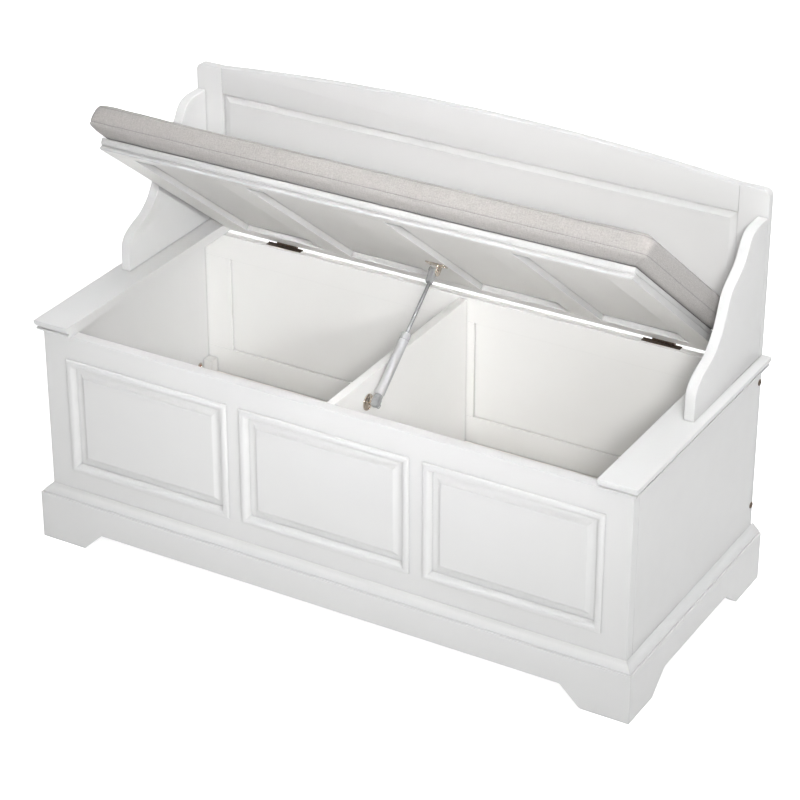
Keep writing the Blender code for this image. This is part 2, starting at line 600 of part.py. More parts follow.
for side, sign in (("left", -1), ("right", 1)):
    x0 = sign * HINGE_MIDDLE - HINGE_LENGTH / 2
    x1 = x0 + HINGE_LENGTH
    share = HINGE_BARREL / 5
    first = sign * HINGE_MIDDLE - HINGE_BARREL / 2
    own = [(first + k * share, first + (k + 1) * share) for k in (0, 2, 4)]
    leaf = box(f"hinge_box_leaf_{side}", x0, x1, *leaf_y, *box_leaf_z, "bronze")
    for start, end in own:
        cutter(leaf, *box_shape(start, end, leaf_y[0], leaf_rear, *box_tongue_z), "UNION")
        cutter(leaf, *knuckle(start, end), "UNION")
    own = [(first + k * share + GAP, first + (k + 1) * share - GAP) for k in (1, 3)]
    mate = box(f"hinge_lid_leaf_{side}", x0, x1, *leaf_y, *lid_leaf_z, "bronze", AXIS, TILT)
    for start, end in own:
        cutter(mate, *box_shape(start, end, leaf_y[0], leaf_rear, *lid_tongue_z), "UNION")
        cutter(mate, *knuckle(start, end), "UNION")
    ends = [tube_ring((AXIS_Y, AXIS_Z), HINGE_PIN_RADIUS, x, 24) for x in (first, first + HINGE_BARREL)]
    solid(f"hinge_pin_{side}", *loft(ends), "bronze", AXIS)

# Gas strut between the divider and the lid's centre batten, given upright and then tilted to its line
LOW = (STRUT_X, AXIS_Y - STRUT_LOW_REACH, AXIS_Z - STRUT_LOW_DROP)
high_y = AXIS_Y - STRUT_TOP_REACH * math.cos(LID_OPEN) - STRUT_TOP_DROP * math.sin(LID_OPEN)
high_z = AXIS_Z + STRUT_TOP_REACH * math.sin(LID_OPEN) - STRUT_TOP_DROP * math.cos(LID_OPEN)
STRUT_SPAN = math.hypot(high_y - LOW[1], high_z - LOW[2])
LEAN = math.atan2(high_z - LOW[2], high_y - LOW[1]) - 0.5 * math.pi


def upright(points):
    """Points given from the lower pivot, moved to it."""
    return [(LOW[0] + x, LOW[1] + y, LOW[2] + z) for x, y, z in points]


def disc(radius, z, count=24):
    angles = [2 * math.pi * k / count for k in range(count)]
    return upright([(radius * math.cos(a), radius * math.sin(a), z) for a in angles])


def ball_socket(pivot, far):
    """A flat block with a round end about the pivot, reaching along the strut to far."""
    half = STRUT_SOCKET_WIDTH / 2
    way = 1 if far > pivot else -1
    outline = [(half, far), (-half, far)]
    for step in range(9):
        a = math.pi * step / 8
        outline.append((-half * math.cos(a), pivot - way * half * math.sin(a)))
    rings = []
    for x in (-STRUT_SOCKET_THICKNESS / 2, STRUT_SOCKET_THICKNESS / 2):
        rings.append(upright([(x, y, z) for y, z in outline]))
    return loft(rings)


cylinder_end = STRUT_CYLINDER_START + STRUT_CYLINDER_LENGTH
bore = STRUT_ROD_RADIUS + PIN_CLEARANCE
shell = [
    disc(STRUT_CYLINDER_RADIUS, STRUT_CYLINDER_START + GAP),
    disc(STRUT_CYLINDER_RADIUS, cylinder_end - 0.001),
    disc(STRUT_CYLINDER_RADIUS - 0.001, cylinder_end),
    disc(bore, cylinder_end),
    disc(bore, STRUT_CYLINDER_START + STRUT_BORE_FLOOR),
]
solid("strut_cylinder", *loft(shell), "silver", LOW, LEAN)
solid("strut_lower_socket", *ball_socket(0.0, STRUT_CYLINDER_START), "nylon", LOW, LEAN)
socket_start = STRUT_SPAN - STRUT_SOCKET_LENGTH
rod = [disc(STRUT_ROD_RADIUS, cylinder_end - STRUT_ROD_INSERT, 20), disc(STRUT_ROD_RADIUS, socket_start - GAP, 20)]
solid("strut_rod", *loft(rod), "steel", LOW, LEAN)
solid("strut_upper_socket", *ball_socket(STRUT_SPAN, socket_start), "nylon", LOW, LEAN)

plate_x = half_divider + GAP
stud_end = STRUT_X - STRUT_SOCKET_THICKNESS / 2 - GAP
rings = [
    tube_ring(LOW[1:], STRUT_BRACKET_RADIUS, plate_x, 28),
    tube_ring(LOW[1:], STRUT_BRACKET_RADIUS, plate_x + 0.6 * STRUT_BRACKET_PLATE, 28),
    tube_ring(LOW[1:], STRUT_BRACKET_RADIUS - 0.0012, plate_x + STRUT_BRACKET_PLATE, 28),
    tube_ring(LOW[1:], STRUT_STUD_RADIUS, plate_x + STRUT_BRACKET_PLATE, 28),
    tube_ring(LOW[1:], STRUT_STUD_RADIUS, stud_end, 28),
]
solid("strut_lower_bracket", *loft(rings), "nickel")

# Upper bracket: a plate under the centre batten with an ear down beside the rod's socket
ear_x = STRUT_X + STRUT_SOCKET_THICKNESS / 2 + GAP
plate_z = LID_UNDER - GAP
plate_y = AXIS_Y - STRUT_TOP_REACH
ear_low = AXIS_Z - STRUT_TOP_DROP - 0.005
outline = [
    (ear_x, ear_low),
    (ear_x + STRUT_BRACKET_PLATE, ear_low),
    (ear_x + STRUT_BRACKET_PLATE, plate_z - STRUT_BRACKET_PLATE),
    (ear_x + 0.014, plate_z - STRUT_BRACKET_PLATE),
    (ear_x + 0.014, plate_z),
    (ear_x, plate_z),
]
rings = [[(x, y, z) for x, z in outline] for y in (plate_y - 0.010, plate_y + 0.010)]
solid("strut_upper_bracket", *loft(rings), "nickel", AXIS, TILT)
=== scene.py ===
"""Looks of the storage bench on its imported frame: sprayed boards, linen cushion, hinges and gas strut."""

import math

import bmesh
import bpy
import numpy as np
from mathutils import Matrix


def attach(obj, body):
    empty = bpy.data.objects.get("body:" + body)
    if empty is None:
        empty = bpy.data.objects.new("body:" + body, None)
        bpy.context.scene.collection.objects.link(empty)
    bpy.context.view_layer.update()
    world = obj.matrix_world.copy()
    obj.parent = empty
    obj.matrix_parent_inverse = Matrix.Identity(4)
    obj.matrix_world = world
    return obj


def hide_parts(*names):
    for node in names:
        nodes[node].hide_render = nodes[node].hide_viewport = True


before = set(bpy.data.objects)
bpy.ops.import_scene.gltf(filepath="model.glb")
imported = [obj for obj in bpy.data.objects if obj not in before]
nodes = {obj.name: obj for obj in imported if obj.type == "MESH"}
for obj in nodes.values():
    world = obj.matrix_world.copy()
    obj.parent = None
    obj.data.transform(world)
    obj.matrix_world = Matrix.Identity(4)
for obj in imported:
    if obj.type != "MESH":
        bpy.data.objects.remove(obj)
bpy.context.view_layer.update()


# Carcase: sides, back, floor and divider of flat boards, dowelled and glued together.
# It is sprayed with satin white lacquer, arrises eased with sandpaper; inside it is a little warmer, and
# lighter as painted light.
def shader_node(tree, kind, feeds=None, **settings):
    """Adds a node, sets its options and feeds each input with a value or with another node's output."""
    made = tree.nodes.new("ShaderNode" + kind)
    for key, value in settings.items():
        setattr(made, key, value)
    for key, value in (feeds or {}).items():
        if isinstance(value, bpy.types.NodeSocket):
            tree.links.new(value, made.inputs[key])
        else:
            made.inputs[key].default_value = value
    return made


def reckon(tree, operation, first, second=0.0):
    """The output of one Math node."""
    return shader_node(tree, "Math", {0: first, 1: second}, operation=operation).outputs[0]


def scaled(tree, vector, factor):
    """A vector or colour times a factor."""
    return shader_node(tree, "VectorMath", {0: vector, "Scale": factor}, operation="SCALE").outputs[0]


def noise(tree, place, scale, detail, roughness=0.5):
    """The grey output of one Noise node."""
    feeds = {"Vector": place, "Scale": scale, "Detail": detail, "Roughness": roughness}
    return shader_node(tree, "TexNoise", feeds).outputs["Fac"]


def ramp(tree, value, start, stop, low, high, **settings):
    """A value that runs from low to high as the given one runs from start to stop."""
    feeds = {"Value": value, "From Min": start, "From Max": stop, "To Min": low, "To Max": high}
    return shader_node(tree, "MapRange", feeds, **settings).outputs["Result"]


def between(tree, share, low, high):
    """A value that runs from low to high as a noise runs over the middle of its range."""
    return ramp(tree, share, 0.3, 0.7, low, high)


def between_colours(tree, share, low, high):
    """A colour that runs from low to high as a noise runs over the middle of its range."""
    feeds = {0: between(tree, share, 0.0, 1.0), 6: (*low, 1.0), 7: (*high, 1.0)}
    return shader_node(tree, "Mix", feeds, data_type="RGBA").outputs[2]


def effect_group(name, inputs, outputs):
    """A shader node group with float inputs and outputs, returned with its two end nodes."""
    tree = bpy.data.node_groups.new(name, "ShaderNodeTree")
    for label, start in inputs.items():
        socket = tree.interface.new_socket(label, in_out="INPUT", socket_type="NodeSocketFloat")
        socket.default_value = start
    for label in outputs:
        tree.interface.new_socket(label, in_out="OUTPUT", socket_type="NodeSocketFloat")
    return tree, tree.nodes.new("NodeGroupInput"), tree.nodes.new("NodeGroupOutput")


PEEL_SIZE, PEEL_DEPTH, SHADE_REACH, DEEPEST_PAINTED_SHADE = 0.0016, 0.0005, 0.005, 0.72
spray, spray_in, spray_out = effect_group(
    "sprayed_coat", {"Peel Size": PEEL_SIZE}, ["Cloud", "Gloss", "Height", "Painted Shade"]
)
spot = shader_node(spray, "TexCoord").outputs["Object"]
peel_scale = reckon(spray, "DIVIDE", 1.0, spray_in.outputs["Peel Size"])
# Ambient occlusion darkens the colour in joints, corners and recesses: this is painted shade.
open_sky = shader_node(spray, "AmbientOcclusion", {"Distance": SHADE_REACH}, samples=6).outputs["AO"]
spray.links.new(noise(spray, spot, 6.0, 4.0, 0.55), spray_out.inputs["Cloud"])
spray.links.new(noise(spray, spot, 38.0, 3.0), spray_out.inputs["Gloss"])
spray.links.new(noise(spray, spot, peel_scale, 2.0, 0.45), spray_out.inputs["Height"])
spray.links.new(ramp(spray, open_sky, 0.2, 0.9, DEEPEST_PAINTED_SHADE, 1.0), spray_out.inputs["Painted Shade"])


def new_material(name):
    """An empty material with its tree and its Principled shader."""
    made = bpy.data.materials.new(name)
    made.use_nodes = True
    return made, made.node_tree, made.node_tree.nodes["Principled BSDF"]


def roughen(tree, skin, height, strength, depth):
    """Bumps the skin of a Principled shader."""
    bump = shader_node(tree, "Bump", {"Height": height, "Strength": strength, "Distance": depth})
    tree.links.new(bump.outputs["Normal"], skin.inputs["Normal"])


def sprayed_paint(name, light, shade, rough):
    """Lacquer: faint clouds of colour, painted shade in joints and corners, varying gloss and an orange-peel
    skin.
    """
    made, tree, skin = new_material(name)
    coat = shader_node(tree, "Group", node_tree=spray)
    coat.inputs["Peel Size"].default_value = PEEL_SIZE
    tint = between_colours(tree, coat.outputs["Cloud"], shade, light)
    tree.links.new(scaled(tree, tint, coat.outputs["Painted Shade"]), skin.inputs["Base Color"])
    tree.links.new(between(tree, coat.outputs["Gloss"], *rough), skin.inputs["Roughness"])
    roughen(tree, skin, coat.outputs["Height"], 0.03, PEEL_DEPTH)
    return made


white_lacquer = sprayed_paint("white_lacquer", (0.746, 0.746, 0.743), (0.730, 0.730, 0.726), (0.36, 0.48))
# Painted light: the inside and the box's floor take lighter whites than the outside, standing in for light
# the box gets less of.
inside_lacquer_painted_light = sprayed_paint("inside_lacquer_painted_light", (0.896, 0.893, 0.878), (0.878, 0.873, 0.856), (0.42, 0.55))
floor_lacquer_painted_light = sprayed_paint("floor_lacquer_painted_light", (0.945, 0.912, 0.868), (0.926, 0.891, 0.846), (0.42, 0.55))


def dress(name, material, eased=0.0008, angle=30.0):
    """Paints a board of the frame; live modifiers join its loose triangles and round its arrises."""
    board = nodes[name]
    board.data.materials.clear()
    board.data.materials.append(material)
    weld = board.modifiers.new("joined", "WELD")
    weld.merge_threshold = 0.00001
    round_off = board.modifiers.new("eased", "BEVEL")
    round_off.width = eased
    round_off.segments = 2
    round_off.limit_method = "ANGLE"
    round_off.angle_limit = math.radians(angle)


INSIDE_EASE = 0.0005
for board in ("side_panel_left", "side_panel_right"):
    dress(board, white_lacquer)
inside_boards = ["back_top_rail", "back_bottom_rail", "back_stile_left", "back_stile_centre"]
inside_boards += ["back_stile_right", "back_panel_left", "back_panel_right"]
for board in inside_boards + ["divider", "corner_block_left", "corner_block_right"]:
    dress(board, inside_lacquer_painted_light, INSIDE_EASE)
for board in ("floor_left", "floor_right", "floor_cleat_front", "floor_cleat_rear"):
    dress(board, floor_lacquer_painted_light, INSIDE_EASE)


# Plinth: three boards mitred at the front corners, glued and screwed round the foot of the carcase.
# A router runs a fillet and a cyma along the top, and the bracket feet are sawn out below.
def placed(name, data):
    """An object at the origin, linked to the scene."""
    made = bpy.data.objects.new(name, data)
    bpy.context.scene.collection.objects.link(made)
    return made


def ring_piece(name, rings, crease=32.0, hoop=False):
    """A mesh of closed rings joined one to the next, with flat caps at both ends unless it is a hoop.

    Doubles are merged, faces turned outward, and the surface is smooth except over creases.
    """
    rings = np.asarray(rings, float)
    number = np.arange(rings.shape[0] * rings.shape[1]).reshape(rings.shape[:2])
    rows = np.vstack([number, number[:1]]) if hoop else number
    ahead = np.roll(rows, -1, 1)
    faces = np.stack([rows[:-1], ahead[:-1], ahead[1:], rows[1:]], -1).reshape(-1, 4).tolist()
    if not hoop:
        faces += [number[0].tolist(), number[-1].tolist()]
    mesh = bpy.data.meshes.new(name)
    mesh.from_pydata(rings.reshape(-1, 3).tolist(), [], faces)
    work = bmesh.new()
    work.from_mesh(mesh)
    bmesh.ops.remove_doubles(work, verts=work.verts, dist=0.000002)
    bmesh.ops.recalc_face_normals(work, faces=work.faces)
    work.to_mesh(mesh)
    work.free()
    mesh.polygons.foreach_set("use_smooth", np.ones(len(mesh.polygons), bool))
    mesh.set_sharp_from_angle(angle=math.radians(crease))
    return placed(name, mesh)


def fit_piece(piece, material, body, slot, *stands_for):
    """Paints a finished piece and ties it to the frame."""
    piece.data.materials.append(material)
    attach(piece, body)
    if stands_for:
        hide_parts(*stands_for)


PAINTED = (white_lacquer, "case", "white_paint")
SIDES = (("left", -1), ("right", 1))
PLINTH_HALF, PLINTH_FRONT, PLINTH_REAR, PLINTH_TOP, PLINTH_THICK = 0.550, -0.24475, 0.24025, 0.1025, 0.0157
FOOT_ARRIS, FACE_TOP, FILLET_ROUND, STEP_BACK, STEP_HEIGHT = 0.0012, 0.0862, 0.0009, 0.0033, 0.0872
CYMA_FOOT, CYMA_RUN, CYMA_RISE, CYMA_SWELL = 0.0893, 0.0119, 0.0128, 0.06
quarter = np.linspace(0, math.pi / 2, 10)
foot_round = np.stack([FOOT_ARRIS * (1 - np.sin(quarter)), FOOT_ARRIS * (1 - np.cos(quarter))], 1)
fillet = np.stack([FILLET_ROUND * (1 - np.cos(quarter)), FACE_TOP + FILLET_ROUND * np.sin(quarter)], 1)
wave = np.linspace(0, 1, 17)
cyma_height = CYMA_FOOT + CYMA_RISE * (wave + CYMA_SWELL * np.sin(2 * math.pi * wave))
cyma = np.stack([STEP_BACK + CYMA_RUN * wave, cyma_height], 1)
plinth_back = [(PLINTH_THICK, PLINTH_TOP), (PLINTH_THICK, 0.0)]
plinth_section = np.vstack([foot_round, fillet, [(STEP_BACK, STEP_HEIGHT)], cyma, plinth_back])
follows_foot = np.zeros(len(plinth_section))
follows_foot[: len(foot_round)] = 1
follows_foot[-1] = 1


def plinth_board(name, stations, place):
    """The plinth's section carried along a board; each station gives place along it, height of cut, mitre."""
    inset, height = plinth_section.T
    rings = [place(run + mitre * inset, inset, height + cut * follows_foot) for run, cut, mitre in stations]
    return ring_piece(name, rings)


CUT_HEIGHT, FOOT, FOOT_SLOPE = 0.034, 0.085, 0.0355
foot_end, cut_end = PLINTH_HALF - FOOT, PLINTH_HALF - FOOT - FOOT_SLOPE
stations = [(-PLINTH_HALF, 0, 1), (-foot_end, 0, 0), (-cut_end, CUT_HEIGHT, 0)]
stations += [(cut_end, CUT_HEIGHT, 0), (foot_end, 0, 0), (PLINTH_HALF, 0, -1)]
piece = plinth_board(
    "plinth_front_board", stations, lambda run, inset, z: np.stack([run, PLINTH_FRONT + inset, z], 1)
)
fit_piece(piece, *PAINTED, "plinth_front")
SIDE_FOOT_FRONT, SIDE_FOOT_REAR, SIDE_SLOPE, MITRE_GAP = 0.083, 0.086, 0.042, 0.00045
front_foot, rear_foot = PLINTH_FRONT + SIDE_FOOT_FRONT, PLINTH_REAR - SIDE_FOOT_REAR
stations = [(PLINTH_FRONT + MITRE_GAP, 0, 1), (front_foot, 0, 0), (front_foot + SIDE_SLOPE, CUT_HEIGHT, 0)]
stations += [(rear_foot - SIDE_SLOPE, CUT_HEIGHT, 0), (rear_foot, 0, 0), (PLINTH_REAR, 0, 0)]
for side, sign in SIDES:
    piece = plinth_board(
        f"plinth_{side}_board",
        stations,
        lambda run, inset, z: np.stack([sign * (PLINTH_HALF - inset), run, z], 1),
    )
    fit_piece(piece, *PAINTED, f"plinth_{side}")


# Front: a frame of stiles and rails with three raised panels, each held by a mitred bolection moulding.
# The moulding is a torus, glued and pinned over the frame's edge, and the panel is raised by a cove.
FRONT_EASE = 0.0009
dress("front_frame", white_lacquer, FRONT_EASE)
FRONT_FACE, PANEL_PITCH, MOULDING_LENGTH = -0.22875, 0.3346, 0.3106
MOULDING_LOW, MOULDING_HIGH, MOULDING_WIDTH, MOULDING_PROUD = 0.138, 0.347, 0.014, 0.0056
CREST, OUTER_STEP, INNER_GAP, LAP, MOULDING_BACK = 0.0058, 0.0010, 0.0006, 0.0063, 0.0067
PANEL_BACK, BORDER, BORDER_WIDTH, FIELD = 0.014, 0.0060, 0.0090, 0.0014
COVE_START, COVE_RUN, COVE_POWER, ARRIS_START = 0.0092, 0.0143, 2.5, 0.0236
ARRIS_RUN, ARRIS_RISE = 0.0008, 0.0004
TOUCH = 0.0003


def rectangle_rings(x0, x1, z0, z1, face, section):
    """Each point of the section, as inset and depth behind the face, becomes an upright rectangle."""
    inset, depth = np.asarray(section, float).T
    left, right, down, up = x0 + inset, x1 - inset, z0 + inset, z1 - inset
    y = face + depth
    corners = [(left, y, down), (right, y, down), (right, y, up), (left, y, up)]
    return np.array(corners).transpose(2, 0, 1)


outer = [CREST * (1 - np.cos(quarter)), -OUTER_STEP - (MOULDING_PROUD - OUTER_STEP) * np.sin(quarter)]
inner = [
    CREST + (MOULDING_WIDTH - CREST) * np.sin(quarter),
    -MOULDING_PROUD + (MOULDING_PROUD + BORDER - INNER_GAP) * (1 - np.cos(quarter)),
]
torus = np.hstack([outer, inner]).T
moulding_back = [(MOULDING_WIDTH, MOULDING_BACK), (LAP, MOULDING_BACK), (LAP, -TOUCH)]
moulding_section = np.vstack([[(0, -TOUCH)], torus, moulding_back])
slope = np.linspace(0, 1, 15)
cove = np.stack([COVE_START + COVE_RUN * slope, BORDER - (BORDER - FIELD) * slope**COVE_POWER], 1)
arris = np.stack([ARRIS_START + ARRIS_RUN * np.sin(quarter), FIELD - ARRIS_RISE * (1 - np.cos(quarter))], 1)
panel_section = np.vstack([[(0, PANEL_BACK), (0, BORDER), (BORDER_WIDTH, BORDER)], cove, arris])
for place, column in (("left", -1), ("centre", 0), ("right", 1)):
    x0 = column * PANEL_PITCH - MOULDING_LENGTH / 2
    x1 = x0 + MOULDING_LENGTH
    rings = rectangle_rings(x0, x1, MOULDING_LOW, MOULDING_HIGH, FRONT_FACE, moulding_section)
    piece = ring_piece(f"bolection_moulding_{place}", rings, hoop=True)
    fit_piece(piece, *PAINTED, f"panel_moulding_{place}")
    rings = rectangle_rings(
        x0 + LAP, x1 - LAP, MOULDING_LOW + LAP, MOULDING_HIGH - LAP, FRONT_FACE, panel_section
    )
    piece = ring_piece(f"raised_panel_{place}", rings, crease=20.0)
    fit_piece(piece, *PAINTED, f"front_panel_{place}")


# Seat caps: a board on each end of the carcase, its front and outer edges moulded, screwed down from inside.
# The edge is a round nose over a fine quirk, and below it a small ogee draws back to the carcase.
CAP_TOP, CAP_HALF, CAP_INNER = 0.409, 0.545, 0.478
CAP_FRONT, CAP_REAR, CAP_DEPTH, QUIRK = -0.23975, 0.24475, 0.0187, 0.0056


def spline(knots, steps):
    """A Catmull-Rom curve: each stretch between two knots leaves and arrives along its neighbours' chords."""
    knots = np.asarray(knots, float)
    ends = np.vstack([2 * knots[0] - knots[1], knots, 2 * knots[-1] - knots[-2]])
    t = np.linspace(0, 1, steps, endpoint=False)[None, :, None]
    before, start, stop, after = (ends[k : len(ends) - 3 + k][:, None, :] for k in range(4))
    line = 2 * start + (stop - before) * t + (2 * before - 5 * start + 4 * stop - after) * t**2
    line = 0.5 * (line + (3 * start - before - 3 * stop + after) * t**3)
    return np.vstack([line.reshape(-1, knots.shape[1]), knots[-1:]])


def moulded_edge(depth):
    """Inset and fall from the top: a full nose over half the edge, then a quirk with an ogee below it."""
    full = [(0.0014, 0.0), (0.0004, 0.0004), (0.0, 0.0016), (0.0002, 0.0044), (0.0009, 0.0074)]
    full += [(0.0021, 0.0095), (0.0034, 0.0102)]
    drawn = [(QUIRK, 0.0104), (QUIRK, 0.0130), (0.0032, 0.0136), (0.0027, 0.0150), (0.0033, 0.0170)]
    drawn += [(0.0050, depth)]
    return spline(full, 4), spline(drawn, 5)


for side, sign in SIDES:
    inset, fall = np.vstack(moulded_edge(CAP_DEPTH)).T
    outer, inner = sign * (CAP_HALF - inset), np.full_like(inset, sign * CAP_INNER)
    y, back, z = CAP_FRONT + inset, np.full_like(inset, CAP_REAR), CAP_TOP - fall
    corners = [(inner, y, z), (outer, y, z), (outer, back, z), (inner, back, z)]
    piece = ring_piece(f"seat_cap_{side}", np.array(corners).transpose(2, 0, 1), crease=40.0)
    fit_piece(piece, *PAINTED, f"cap_{side}")


# Wings: one S-shaped board on each cap, bandsawn, its edges rounded over and sanded.
# It is dowelled to the cap below and to the post behind.
POST_HALF, POST_FRONT, POST_REAR = 0.529, 0.22925, 0.24475
WING_BOARD, WING_DEPTH, WING_HEIGHT, WING_ROUND, WING_TOP_START = 0.0175, 0.242, 0.243, 0.0016, 0.880


def slab(outline, low, high, radius, to_frame, name):
    """A flat board: its outline drawn in along mitred normals by a quarter round at both faces."""
    outline = np.asarray(outline, float)
    ahead = np.roll(outline, -1, 0) - outline
    ahead /= np.linalg.norm(ahead, axis=1, keepdims=True)
    normal = np.stack([ahead[:, 1], -ahead[:, 0]], 1)
    before = np.roll(normal, 1, 0)
    mitre = (normal + before) / (1 + np.sum(normal * before, 1, keepdims=True))
    area = np.sum(outline[:, 0] * np.roll(outline[:, 1], -1) - np.roll(outline[:, 0], -1) * outline[:, 1])
    mitre *= np.sign(area)
    turn = np.linspace(0, math.pi / 2, 5)
    levels = np.hstack([low + radius * (1 - np.cos(turn)), high - radius * (1 - np.cos(turn[::-1]))])
    drawn_in = radius * (1 - np.sin(np.hstack([turn, turn[::-1]])))
    rings = [to_frame(outline - inset * mitre, level) for level, inset in zip(levels, drawn_in)]
    return ring_piece(name, rings)


def wing_outline():
    """The front edge is a chain of Bezier arcs through knots of depth share, height share and heading."""
    knots = [(0, 0.150, 90), (0.175, 0.312, 19), (0.440, 0.620, 71), (0.560, 0.752, 32)]
    knots = np.array(knots + [(0.715, 0.902, 64), (WING_TOP_START, 1.0, 0)])
    ends = knots[:, :2] * (WING_DEPTH, WING_HEIGHT)
    heading = np.radians(knots[:, 2:])
    way = np.hstack([np.cos(heading), np.sin(heading)])
    pull = np.linalg.norm(np.diff(ends, axis=0), axis=1, keepdims=True) / 2.6
    p0, p1 = ends[:-1, None], (ends[:-1] + pull * way[:-1])[:, None]
    p2, p3 = (ends[1:] - pull * way[1:])[:, None], ends[1:, None]
    t = np.linspace(0, 1, 14, endpoint=False)[None, :, None]
    arcs = (1 - t) ** 3 * p0 + 3 * t * (1 - t) ** 2 * p1 + 3 * t**2 * (1 - t) * p2 + t**3 * p3
    top = [(WING_TOP_START * WING_DEPTH, WING_HEIGHT), (WING_DEPTH, WING_HEIGHT), (WING_DEPTH, 0)]
    return np.vstack([[(0, 0)], arcs.reshape(-1, 2), top])


wing_edge = wing_outline() + (POST_FRONT - TOUCH - WING_DEPTH, CAP_TOP + TOUCH)
for side, sign in SIDES:
    piece = slab(
        wing_edge,
        POST_HALF - WING_BOARD,
        POST_HALF,
        WING_ROUND,
        lambda line, x: np.insert(line, 0, sign * x, axis=1),
        f"wing_board_{side}",
    )
    fit_piece(piece, *PAINTED, f"wing_{side}")


# Backrest: two posts on the caps, an arched top rail, a bottom rail and one raised panel between them.
# The rails butt between the posts on dowels, and the panel's bevel dies under the top rail.
POST_INNER, POST_TOP, POST_CORNER, ARCH_RISE, RAIL_UNDER = 0.478, 0.698, 0.012, 0.024, 0.651
BACK_ROUND, PANEL_EASE = 0.0012, 0.0006
corner_turn = np.linspace(0, math.pi / 2, 9)
corner_x = POST_HALF - POST_CORNER * (1 - np.cos(corner_turn))
corner_z = POST_TOP - POST_CORNER * (1 - np.sin(corner_turn))
post_foot = [(POST_INNER, CAP_TOP + TOUCH), (POST_HALF, CAP_TOP + TOUCH)]
post_edge = np.vstack([post_foot, np.stack([corner_x, corner_z], 1), [(POST_INNER, POST_TOP)]])


def upright(line, y):
    """A line of x and z at one depth."""
    return np.insert(line, 1, y, axis=1)


for side, sign in SIDES:
    piece = slab(post_edge * (sign, 1), POST_FRONT, POST_REAR, BACK_ROUND, upright, f"back_post_{side}")
    fit_piece(piece, *PAINTED, f"post_{side}")
rail_half = POST_INNER - TOUCH
arch_radius = (rail_half**2 + ARCH_RISE**2) / (2 * ARCH_RISE)
arch_x = np.linspace(rail_half, -rail_half, 65)
arch = np.stack([arch_x, POST_TOP + ARCH_RISE - arch_radius + np.sqrt(arch_radius**2 - arch_x**2)], 1)
rail_edge = np.vstack([[(-rail_half, RAIL_UNDER), (rail_half, RAIL_UNDER)], arch])
piece = slab(rail_edge, POST_FRONT, POST_REAR, BACK_ROUND, upright, "arched_rail")
fit_piece(piece, *PAINTED, "backrest_top_rail")
dress("backrest_bottom_rail", white_lacquer, BACK_ROUND)
dress("backrest_panel", white_lacquer, PANEL_EASE, 12.0)


# Lid: a plywood board with a moulded nose, stiffened below by a frame of rails and three battens.
# It is sprayed like the carcase, darker as painted shade and lighter beneath as painted light; it hangs on
# the hinges and at rest stands open by 38.4 degrees.
LID_HALF, LID_REAR, LID_UNDER, LID_BOARD, LID_OPEN = 0.472, 0.23425, 0.3903, 0.0081, math.radians(38.4)
HINGE_Y, HINGE_Z = 0.24025, 0.39015
END_ROUND, REAR_ROUND, LIP, RAIL_DEPTH, RAIL_TOP = 0.0008, 0.0075, 0.0050, 0.0288, 0.4006
RAIL_EASE, BATTEN_EASE = 0.0003, 0.0010


def lift(points):
    """Turns points of the closed lid about the hinge line to the open lid."""
    x, y, z = np.moveaxis(np.asarray(points, float) - (0, HINGE_Y, HINGE_Z), -1, 0)
    c, s = math.cos(LID_OPEN), math.sin(LID_OPEN)
    return np.stack([x, HINGE_Y + y * c + z * s, HINGE_Z - y * s + z * c], -1)


def lifted_across(line, x):
    """A line of y and z on the closed lid at one place across it, turned to the open lid."""
    return lift(np.insert(line, 0, x, axis=1))


# Painted shade and light: the lid's top, nose and batten walls take a darker white, its down-facing faces a
# lighter one.
lid_lacquer_painted_shade = sprayed_paint("lid_lacquer_painted_shade", (0.630, 0.630, 0.627), (0.616, 0.616, 0.612), (0.42, 0.54))
under_lacquer_painted_light = sprayed_paint("under_lacquer_painted_light", (0.940, 0.930, 0.912), (0.922, 0.911, 0.891), (0.40, 0.52))


def paint_underside(piece):
    """Faces that look down on the closed lid take the underside's lighter paint, which is painted light."""
    mesh = piece.data
    mesh.materials.append(under_lacquer_painted_light)
    normals = np.zeros(len(mesh.polygons) * 3)
    mesh.polygons.foreach_get("normal", normals)
    downward = normals.reshape(-1, 3) @ (0, math.sin(LID_OPEN), math.cos(LID_OPEN)) < -0.9
    mesh.polygons.foreach_set("material_index", downward.astype(np.int32))


upper_edge, lower_edge = moulded_edge(CAP_TOP - LID_UNDER)
rear_turn = np.linspace(math.pi / 2, 0, 8)
rear_y = LID_REAR - REAR_ROUND * (1 - np.cos(rear_turn))
rear_z = CAP_TOP - REAR_ROUND * (1 - np.sin(rear_turn))
lid_nose = np.stack([CAP_FRONT + upper_edge[::-1, 0], CAP_TOP - upper_edge[::-1, 1]], 1)
board_under = [(LID_REAR, CAP_TOP - LID_BOARD), (CAP_FRONT + LIP, CAP_TOP - LID_BOARD)]
lid_section = np.vstack([lid_nose, np.stack([rear_y, rear_z], 1), board_under])
piece = slab(lid_section, -LID_HALF, LID_HALF, END_ROUND, lifted_across, "lid_board")
fit_piece(piece, lid_lacquer_painted_shade, "lid", "white_paint", "lid_panel")
paint_underside(piece)
rail_nose = np.stack([CAP_FRONT + lower_edge[:, 0], CAP_TOP - lower_edge[:, 1]], 1)
rail_back = [(CAP_FRONT + RAIL_DEPTH, LID_UNDER), (CAP_FRONT + RAIL_DEPTH, RAIL_TOP)]
rail_section = np.vstack([[(CAP_FRONT + QUIRK, RAIL_TOP)], rail_nose, rail_back])
piece = slab(rail_section, -LID_HALF, LID_HALF, END_ROUND, lifted_across, "lid_front_moulding")
fit_piece(piece, lid_lacquer_painted_shade, "lid", "white_paint", "lid_front_rail")
paint_underside(piece)
stiffeners = {"rear_rail": RAIL_EASE, "end_rail_left": RAIL_EASE, "end_rail_right": RAIL_EASE}
